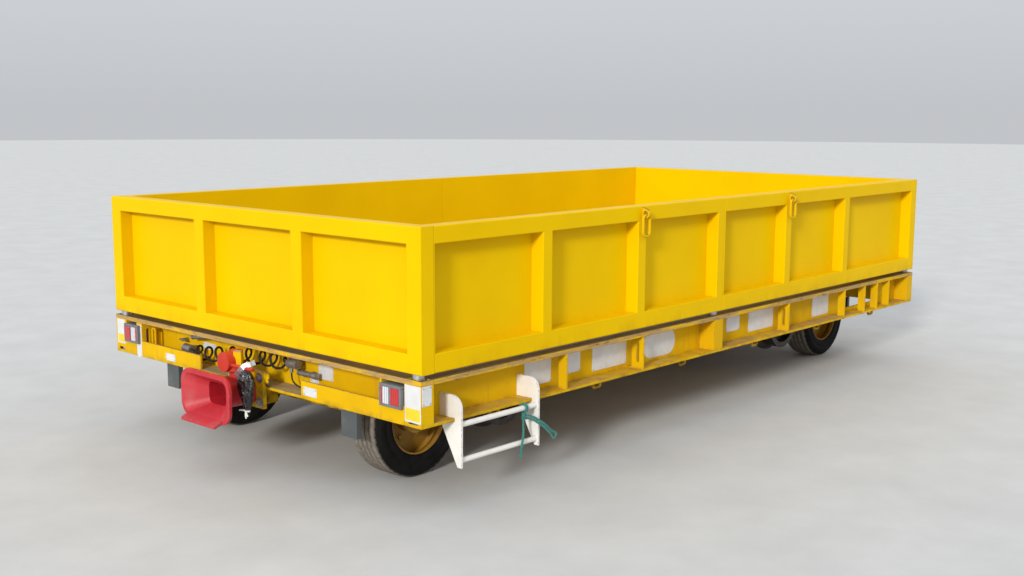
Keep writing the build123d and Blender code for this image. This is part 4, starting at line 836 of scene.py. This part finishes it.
# Wheel nuts, hub caps and the rings that hold the tyres on their rims
RIM_BARREL = 0.1905
RIM_RING = (
    # out from the rim's outer edge, radius
    (-0.048, RIM_BARREL), (-0.048, 0.1870), (-0.014, 0.1730), (0.000, 0.1705), (0.003, 0.1725),
    (0.003, 0.1790), (0.000, 0.1802), (0.000, RIM_BARREL),
)
RING_SEGMENTS = 96
NUT_COUNT = 6
NUT_CIRCLE = 0.112
NUT_SIZE = 0.030
DISC_FACE = 0.084
HUB_FACE = 0.154
HUB_CAP = (
    # out from the hub's face, radius
    (0, 0.062), (0.012, 0.062), (0.020, 0.055), (0.024, 0.040), (0.025, 0.012),
)
for place in WHEEL_PLACES:
    body = "wheel_" + place
    low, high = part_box("rim_" + place)
    outward = 1 if low.y > 0 else -1
    inner, edge = (low.y, high.y) if outward > 0 else (high.y, low.y)
    out_axis = LEFT * outward
    axle = Vector(((low.x + high.x) / 2, 0, (low.z + high.z) / 2))
    bm = bmesh.new()
    disc = axle + LEFT * (inner + outward * DISC_FACE)
    for index in range(NUT_COUNT):
        angle = math.tau * index / NUT_COUNT
        hex_bolt(bm, disc + spoke(FORWARD, UP, angle) * NUT_CIRCLE, out_axis, NUT_SIZE)
    lathe(bm, HUB_CAP, facing(axle + LEFT * (inner + outward * HUB_FACE), out_axis), 32)
    piece("wheel_nuts_" + place, bm, RIM_RUSTY_SHADED, body, smooth=False)
    bm = bmesh.new()
    rings = turned(bm, RIM_RING, facing(axle + LEFT * edge, out_axis), RING_SEGMENTS)
    skin(bm, rings + rings[:1])
    piece("rim_ring_" + place, bm, RIM_RUSTY_SHADED, body)

# Black bag over the hose end
BAG_LOW, BAG_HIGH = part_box("wrapped_bundle")
NECK_SHARE = 0.12
BAG_SECTIONS = (
    # share of the height, share of the half size along x, along y, middle along y
    (0.00, 0.20, 0.12, 0.10),
    (0.05, 0.34, 0.20, 0.10),
    (NECK_SHARE, 0.22, 0.15, 0.10),
    (0.20, 0.46, 0.34, 0.12),
    (0.34, 0.70, 0.52, 0.08),
    (0.50, 0.88, 0.80, 0.00),
    (0.66, 0.96, 0.95, 0.00),
    (0.80, 0.92, 0.92, 0.00),
    (0.90, 0.74, 0.66, 0.00),
    (1.00, 0.44, 0.34, 0.00),
)
BAG_ROWS = 90
BAG_SIDES = 84
BAG_FOLDS = 9
GATHERED_FROM = 0.8
FOLD_DEPTH = 0.03
GATHER_DEPTH = 0.09
DENT_DEPTH = 0.14
CREASE_DEPTH = 0.07
SLACK_DEPTH = 0.12


def bag_size(share):
    """The bag's section at a share of its height."""
    for lower, upper in zip(BAG_SECTIONS, BAG_SECTIONS[1:]):
        if share <= upper[0]:
            blend = ease((share - lower[0]) / (upper[0] - lower[0]))
            return [a + (b - a) * blend for a, b in zip(lower[1:], upper[1:])]
    return BAG_SECTIONS[-1][1:]


def bag_reach(share, angle):
    """How far the film stands out, as a share of its section: folds by its ties, and dents."""
    by_neck = 1 - min(1, 4 * abs(share - NECK_SHARE))
    by_top = max(0, (share - GATHERED_FROM) / (1 - GATHERED_FROM))
    spot = Vector((math.cos(angle) * 2.2, math.sin(angle) * 2.2, share * 5))
    wave = math.sin(BAG_FOLDS * angle + 4 * noise.noise(spot * 0.8))
    folds = wave * (FOLD_DEPTH + GATHER_DEPTH * (by_neck + by_top))
    dents = DENT_DEPTH * noise.noise(spot) + CREASE_DEPTH * noise.noise(spot * 2.7)
    return min(1 + folds + dents - SLACK_DEPTH, 1)


def bag_mesh():
    """A slack film gathered at its top and its tie, with folds that run between them."""
    middle = (BAG_LOW + BAG_HIGH) / 2
    half = (BAG_HIGH - BAG_LOW) / 2
    bm = bmesh.new()
    rings = []
    for row in range(BAG_ROWS + 1):
        share = row / BAG_ROWS
        along_x, along_y, shift = bag_size(share)
        ring = []
        for index in range(BAG_SIDES):
            angle = math.tau * index / BAG_SIDES
            reach = bag_reach(share, angle)
            ring.append(bm.verts.new((
                middle.x + half.x * along_x * reach * math.cos(angle),
                middle.y + half.y * (shift + along_y * reach * math.sin(angle)),
                BAG_LOW.z + 2 * half.z * share,
            )))
        rings.append(ring)
    closed_skin(bm, rings)
    return bm


bag = piece("bag", bag_mesh(), MATERIALS["bag_black"])
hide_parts("wrapped_bundle")

# Blank plates: thin sheets on the webs, ribs and pockets
PLATE_SHEET = 0.0015
PLATE_BORDER = 0.006
FIELD_SHEET = 0.0004
FIELD_CORNER = 0.001
FOOT_SHARE = 0.36
RIVET = ((0, 0.0036), (0.0012, 0.0036), (0.0022, 0.0026), (0.0027, 0.0010))
RIVET_INSET = 0.008
FRONT_PLATES = (
    # x of the face, y, height of the middle, width, height, yellow field at the foot
    (WEB_X, 0.475, 0.5285, 0.112, 0.080, False),
    (WEB_X, -0.764, 0.573, 0.070, 0.030, False),
    (WEB_X, 0.385, 0.464, 0.066, 0.034, False),
    (WEB_X, -0.520, 0.520, 0.120, 0.036, False),
    (FRONT_X, -0.720, 0.448, 0.094, 0.040, False),
    (FRONT_X, 0.500, 0.452, 0.102, 0.044, False),
    (FRONT_X, -1.037, 0.4965, 0.050, 0.186, False),
    (FRONT_X, 1.225, 0.516, 0.104, 0.168, True),
    (FRONT_X, -1.228, 0.530, 0.080, 0.140, True),
)
SIDE_PLATES = (
    # y of the face, x, height of the middle, width, height, corner radius
    (WEB_Y, 1.593, 0.517, 0.200, 0.136, 0.006),
    (WEB_Y, 1.312, 0.525, 0.105, 0.116, 0.006),
    (WEB_Y, 1.013, 0.517, 0.294, 0.142, 0.006),
    (WEB_Y, 0.560, 0.513, 0.300, 0.150, 0.070),
    (WEB_Y, -0.200, 0.525, 0.147, 0.092, 0.006),
    (WEB_Y, -0.524, 0.514, 0.294, 0.134, 0.006),
    (WEB_Y, -1.284, 0.513, 0.220, 0.144, 0.006),
    (SIDE_Y, 2.447, 0.556, 0.058, 0.090, 0.004),
)
white = bmesh.new()
yellow = bmesh.new()
rivets = bmesh.new()


def rivet_corners(matrix, width, height):
    for x in (RIVET_INSET - width / 2, width / 2 - RIVET_INSET):
        for y in (RIVET_INSET - height / 2, height / 2 - RIVET_INSET):
            lathe(rivets, RIVET, matrix @ Matrix.Translation((x, y, PLATE_SHEET)), 10)


for x, y, z, width, height, with_field in FRONT_PLATES:
    face = face_frame(x, y, z, FORWARD)
    slab(white, face, width, height, PLATE_SHEET)
    if with_field:
        foot = FOOT_SHARE * height
        field = face_frame(x + PLATE_SHEET, y, z - height / 2 + foot / 2 + PLATE_BORDER, FORWARD)
        slab(yellow, field, width - 2 * PLATE_BORDER, foot - PLATE_BORDER, FIELD_SHEET, FIELD_CORNER)
    else:
        rivet_corners(face, width, height)
for y, x, z, width, height, corner in SIDE_PLATES:
    face = face_frame(x, y, z, LEFT)
    slab(white, face, width, height, PLATE_SHEET, corner, 10)
    if corner < RIVET_INSET:
        rivet_corners(face, width, height)
piece("plates_white", white, PLATE_WHITE, smooth=False)
piece("plates_yellow", yellow, PLATE_YELLOW, smooth=False)
piece("plate_rivets", rivets, MATERIALS["galvanised"])

# Bolts on the coupling mounts, the same at both ends
MOUNT_LOW, MOUNT_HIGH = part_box("coupling_mounts")
MOUNT_BOLT_Y = 0.122
MOUNT_BOLT_INSET = 0.032
MOUNT_BOLT_SIZE = 0.034
bm = bmesh.new()
for turn in BOTH_ENDS:
    for side in BOTH_SIDES:
        for z in (MOUNT_LOW.z + MOUNT_BOLT_INSET, MOUNT_HIGH.z - MOUNT_BOLT_INSET):
            spot = Vector((MOUNT_HIGH.x, side * MOUNT_BOLT_Y, z))
            hex_bolt(bm, turn @ spot, turn @ FORWARD, MOUNT_BOLT_SIZE)
piece("mount_bolts", bm, MATERIALS["fitting_grey"], smooth=False)

# Bezels round the lamps' lenses, and the lenses' caps
LAMP_Y = 1.094
LAMP_Z = BEAM_LOW + 0.125
LAMP_FACE = WEB_X + 0.085
BEZEL_DEPTH = 0.055
BEZEL_BARS = (
    # across, up, width, height
    (0, 0.0455, 0.144, 0.013), (0, -0.0455, 0.144, 0.013),
    (-0.0655, 0, 0.013, 0.080), (0, 0, 0.011, 0.080), (0.0655, 0, 0.013, 0.080),
)
CAP_FOOT = LAMP_FACE + 0.010
CAP_HEIGHT = 0.078
CAP_CORNER = 0.005
LENS_CAPS = {
    # of each colour: out from the lamp's middle, width, depth
    "red": ((0.0325, 0.054, 0.048), (-0.0535, 0.011, 0.046)),
    "clear": ((-0.0265, 0.041, 0.048),),
}
bm = bmesh.new()
for turn in BOTH_ENDS:
    for side in BOTH_SIDES:
        for across, up, width, height in BEZEL_BARS:
            bar = face_frame(LAMP_FACE, side * LAMP_Y + across, LAMP_Z + up, FORWARD)
            slab(bm, turn @ bar, width, height, BEZEL_DEPTH)
piece("lamp_bezels", bm, MATERIALS["lamp_grey"], smooth=False)
for colour, caps in LENS_CAPS.items():
    bm = bmesh.new()
    for turn in BOTH_ENDS:
        for side in BOTH_SIDES:
            for out, width, depth in caps:
                cap = face_frame(CAP_FOOT, side * (LAMP_Y + out), LAMP_Z, FORWARD)
                slab(bm, turn @ cap, width, CAP_HEIGHT, depth, CAP_CORNER)
    slot = "lens_" + colour
    piece("lamp_caps_" + colour, bm, MATERIALS[slot], smooth=False)

# Weld beads where ribs and lashing plates stand on the flanges
RIB_SHEET = 0.012
SIDE_RIBS = (
    # x, how far the bead starts in from the edge
    (1.485, 0.050), (-1.441, 0.050), (-1.735, 0.050), (-1.924, 0.050), (-2.104, 0.050),
    (0.8417, 0.090), (-0.6983, 0.090),
)
SIDE_RIB_END = SIDE_Y - 0.004
LAMP_RIB_Y = 1.012
LAMP_RIB_END = FRONT_X - 0.014
BEAD_RADIUS = 0.004
BEAD_RIPPLE = 0.004
BEAD_POINTS = 7
BEAD_WAIST = 0.85
BEAD_SWELL = 0.25
BEAD_UNEVEN = 0.15


def weld_bead(bm, start, end, up):
    """A rippled round bead along a corner."""
    run = end - start
    count = max(4, round(run.length / BEAD_RIPPLE))
    ahead = run.normalized()
    side = ahead.cross(up).normalized()
    other = side.cross(ahead)
    rings = []
    for step in range(count + 1):
        centre = start + run * (step / count)
        uneven = BEAD_UNEVEN * noise.noise(centre * 60)
        reach = BEAD_RADIUS * (BEAD_WAIST + BEAD_SWELL * (step % 2) + uneven)
        ring = []
        for index in range(BEAD_POINTS):
            angle = math.tau * index / BEAD_POINTS
            ring.append(bm.verts.new(centre + spoke(side, other, angle) * reach))
        rings.append(ring)
    closed_skin(bm, rings)


bm = bmesh.new()
for turn in BOTH_ENDS:
    for z, up in ((LEDGE, UP), (UNDER_EDGE, -UP)):
        for x, depth in SIDE_RIBS:
            for face in (x - RIB_SHEET / 2, x + RIB_SHEET / 2):
                start = turn @ Vector((face, SIDE_Y - depth, z))
                weld_bead(bm, start, turn @ Vector((face, SIDE_RIB_END, z)), up)
        for y in (LAMP_RIB_Y, -LAMP_RIB_Y):
            for face in (y - RIB_SHEET / 2, y + RIB_SHEET / 2):
                start = turn @ Vector((WEB_X, face, z))
                weld_bead(bm, start, turn @ Vector((LAMP_RIB_END, face, z)), up)
piece("weld_beads", bm, MATERIALS["frame_yellow"])

# Silver tape over the release lever, and a white tie round the bag's neck
LEVER_X = BAG_LOW.x / 2 + BAG_HIGH.x / 2
LEVER_Z = BAG_HIGH.z + 0.0093
BAG_Y = (BAG_LOW.y + BAG_HIGH.y) / 2
TAPE_LINE = (
    (LEVER_X + 0.026, BAG_Y - 0.046, LEVER_Z - 0.040),
    (LEVER_X + 0.022, BAG_Y - 0.018, LEVER_Z - 0.010),
    (LEVER_X + 0.006, BAG_Y + 0.002, LEVER_Z + 0.014),
    (LEVER_X - 0.012, BAG_Y + 0.022, LEVER_Z + 0.020),
    (LEVER_X - 0.022, BAG_Y + 0.050, LEVER_Z + 0.034),
)
TAPE_FACING = Vector((0.66, 0.70, 0.28))
TAPE_HALF = 0.013
TAPE_SHEET = 0.0009
TAPE_STEPS = 28
TAPE_RIPPLE = 0.0025
NECK = Vector((LEVER_X, BAG_Y + 0.007, BAG_LOW.z + NECK_SHARE * (BAG_HIGH.z - BAG_LOW.z)))
TIE_BAND = (
    # along the neck, radius
    (-0.005, 0.0115), (-0.003, 0.0155), (0.003, 0.0155), (0.005, 0.0115),
)
TIE_RADIUS = 0.0042
TIE_LAY = 0.05
TIE_TAILS = (
    # points of each tail, out from the neck
    ((0.010, 0.006, 0.002), (0.020, 0.018, -0.004), (0.024, 0.034, -0.018)),
    ((0.012, 0.000, 0.004), (0.024, -0.012, 0.010), (0.030, -0.026, 0.006)),
    ((0.012, 0.004, -0.002), (0.022, 0.010, -0.018), (0.022, 0.020, -0.030)),
)
bm = bmesh.new()
rings = []
for share, place, ahead in walk(smooth_line(TAPE_LINE), TAPE_STEPS):
    out = (TAPE_FACING - ahead * TAPE_FACING.dot(ahead)).normalized()
    across = ahead.cross(out)
    ripple = out * TAPE_RIPPLE * noise.noise(Vector((share * 9, 1.5, 0.2)))
    ring = []
    for side, level in ((-1, 0), (1, 0), (1, 1), (-1, 1)):
        offset = across * side * TAPE_HALF + out * level * TAPE_SHEET
        ring.append(bm.verts.new(place + ripple + offset))
    rings.append(ring)
closed_skin(bm, rings)
piece("bag_tape", bm, TAPE_SILVER, smooth=False)
bm = bmesh.new()
lathe(bm, TIE_BAND, Matrix.Translation(NECK), 24)
for tail_steps in TIE_TAILS:
    line = smooth_line([NECK + Vector(step) for step in tail_steps])
    add_mesh(bm, rope_tube(line, TIE_RADIUS, TIE_LAY, sides=10, strands=2))
piece("bag_tie", bm, TIE_WHITE)

# Lug with a ring beside the front coupling, and the yellow stop on its drum
LUG = Vector((MOUNT_HIGH.x - 0.010, 0.150, MOUNT_HIGH.z - 0.030))
LUG_FOOT = LUG + Vector((-0.005, 0.012, 0))
LUG_WIDTH = 0.046
LUG_HEIGHT = 0.052
LUG_SHEET = 0.010
LUG_CORNER = 0.012
STOP = (FRONT_X + 0.088, 0.048, BEAM_LOW + 0.158)
STOP_FACING = (0.9, 0.4, 0)
STOP_WIDTH = 0.046
STOP_HEIGHT = 0.082
STOP_SHEET = 0.018
STOP_CORNER = 0.005
HOOP_OUT = 0.024
HOOP_REACH = 0.021
HOOP_LEAN = 0.004
HOOP_RADIUS = 0.003
HOOP_STEPS = 24
bm = bmesh.new()
slab(bm, face_frame(*LUG_FOOT, FORWARD), LUG_WIDTH, LUG_HEIGHT, LUG_SHEET, LUG_CORNER, 6)
slab(bm, face_frame(*STOP, STOP_FACING), STOP_WIDTH, STOP_HEIGHT, STOP_SHEET, STOP_CORNER)
piece("coupling_trim", bm, MATERIALS["frame_yellow"], smooth=False)
hoop = []
for step in range(HOOP_STEPS + 1):
    angle = math.tau * step / HOOP_STEPS
    hoop.append(LUG + Vector((
        HOOP_LEAN * math.sin(angle),
        HOOP_OUT + HOOP_REACH * math.sin(angle),
        HOOP_REACH * math.cos(angle) - HOOP_REACH,
    )))
bm = rope_tube(hoop, HOOP_RADIUS, sides=10, strands=0)
piece("coupling_ring", bm, MATERIALS["dark_steel"])

# Floor
FLOOR_RADIUS = 60
bm = bmesh.new()
bmesh.ops.create_circle(bm, cap_ends=True, segments=96, radius=FLOOR_RADIUS)
floor_mesh = bpy.data.meshes.new("floor")
bm.to_mesh(floor_mesh)
bm.free()
floor_mesh.materials.append(floor_paint("floor_pale", (0.50, 0.50, 0.49), (0.56, 0.56, 0.55)))
floor = linked("floor", floor_mesh)
floor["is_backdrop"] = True

# Light: a soft key from the front, and a sky that grows brighter from the horizon up
KEY_FROM = Vector((0.936, 0.352, 0.36))
KEY_ENERGY = 2.6
KEY_SPREAD = 9
KEY_COLOUR = (1.0, 0.97, 0.92)
SKY_HORIZON = (0.54, 0.555, 0.58, 1)
SKY_OVERHEAD = (0.98, 1.02, 1.08, 1)
SKY_BRIGHT_FROM = 0.55
key_light = bpy.data.lights.new("key", "SUN")
key_light.energy = KEY_ENERGY
key_light.angle = math.radians(KEY_SPREAD)
key_light.color = KEY_COLOUR
linked("key", key_light).rotation_euler = KEY_FROM.to_track_quat("Z", "Y").to_euler()
world = bpy.data.worlds.new("studio")
world.use_nodes = True
sky = world.node_tree
direction = sky.nodes.new("ShaderNodeTexCoord")
split = sky.nodes.new("ShaderNodeSeparateXYZ")
rise = sky.nodes.new("ShaderNodeMapRange")
rise.inputs["From Max"].default_value = SKY_BRIGHT_FROM
blend = sky.nodes.new("ShaderNodeMix")
blend.data_type = "RGBA"
blend.inputs[6].default_value = SKY_HORIZON
blend.inputs[7].default_value = SKY_OVERHEAD
sky.links.new(direction.outputs["Generated"], split.inputs["Vector"])
sky.links.new(split.outputs["Z"], rise.inputs["Value"])
sky.links.new(rise.outputs["Result"], blend.inputs[0])
sky.links.new(blend.outputs[2], sky.nodes["Background"].inputs["Color"])
bpy.context.scene.world = world
bpy.context.scene.view_settings.view_transform = "Standard"

# Camera
camera_data = bpy.data.cameras.new("camera")
camera_data.sensor_width = CAMERA_SENSOR
camera_data.lens = CAMERA_LENS
camera = linked("camera", camera_data)
camera.matrix_world = (
    Matrix.Translation(CAMERA_PLACE)
    @ Matrix.Rotation(math.radians(CAMERA_TURN), 4, "Z")
    @ Matrix.Rotation(math.radians(90 - CAMERA_DOWN), 4, "X")
    @ Matrix.Rotation(math.radians(CAMERA_ROLL), 4, "Z")
)
bpy.context.scene.camera = camera

boxes = {"cad": CAD_BOX, "visual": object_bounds()}
{name: [list(corner) for corner in box] for name, box in boxes.items()}
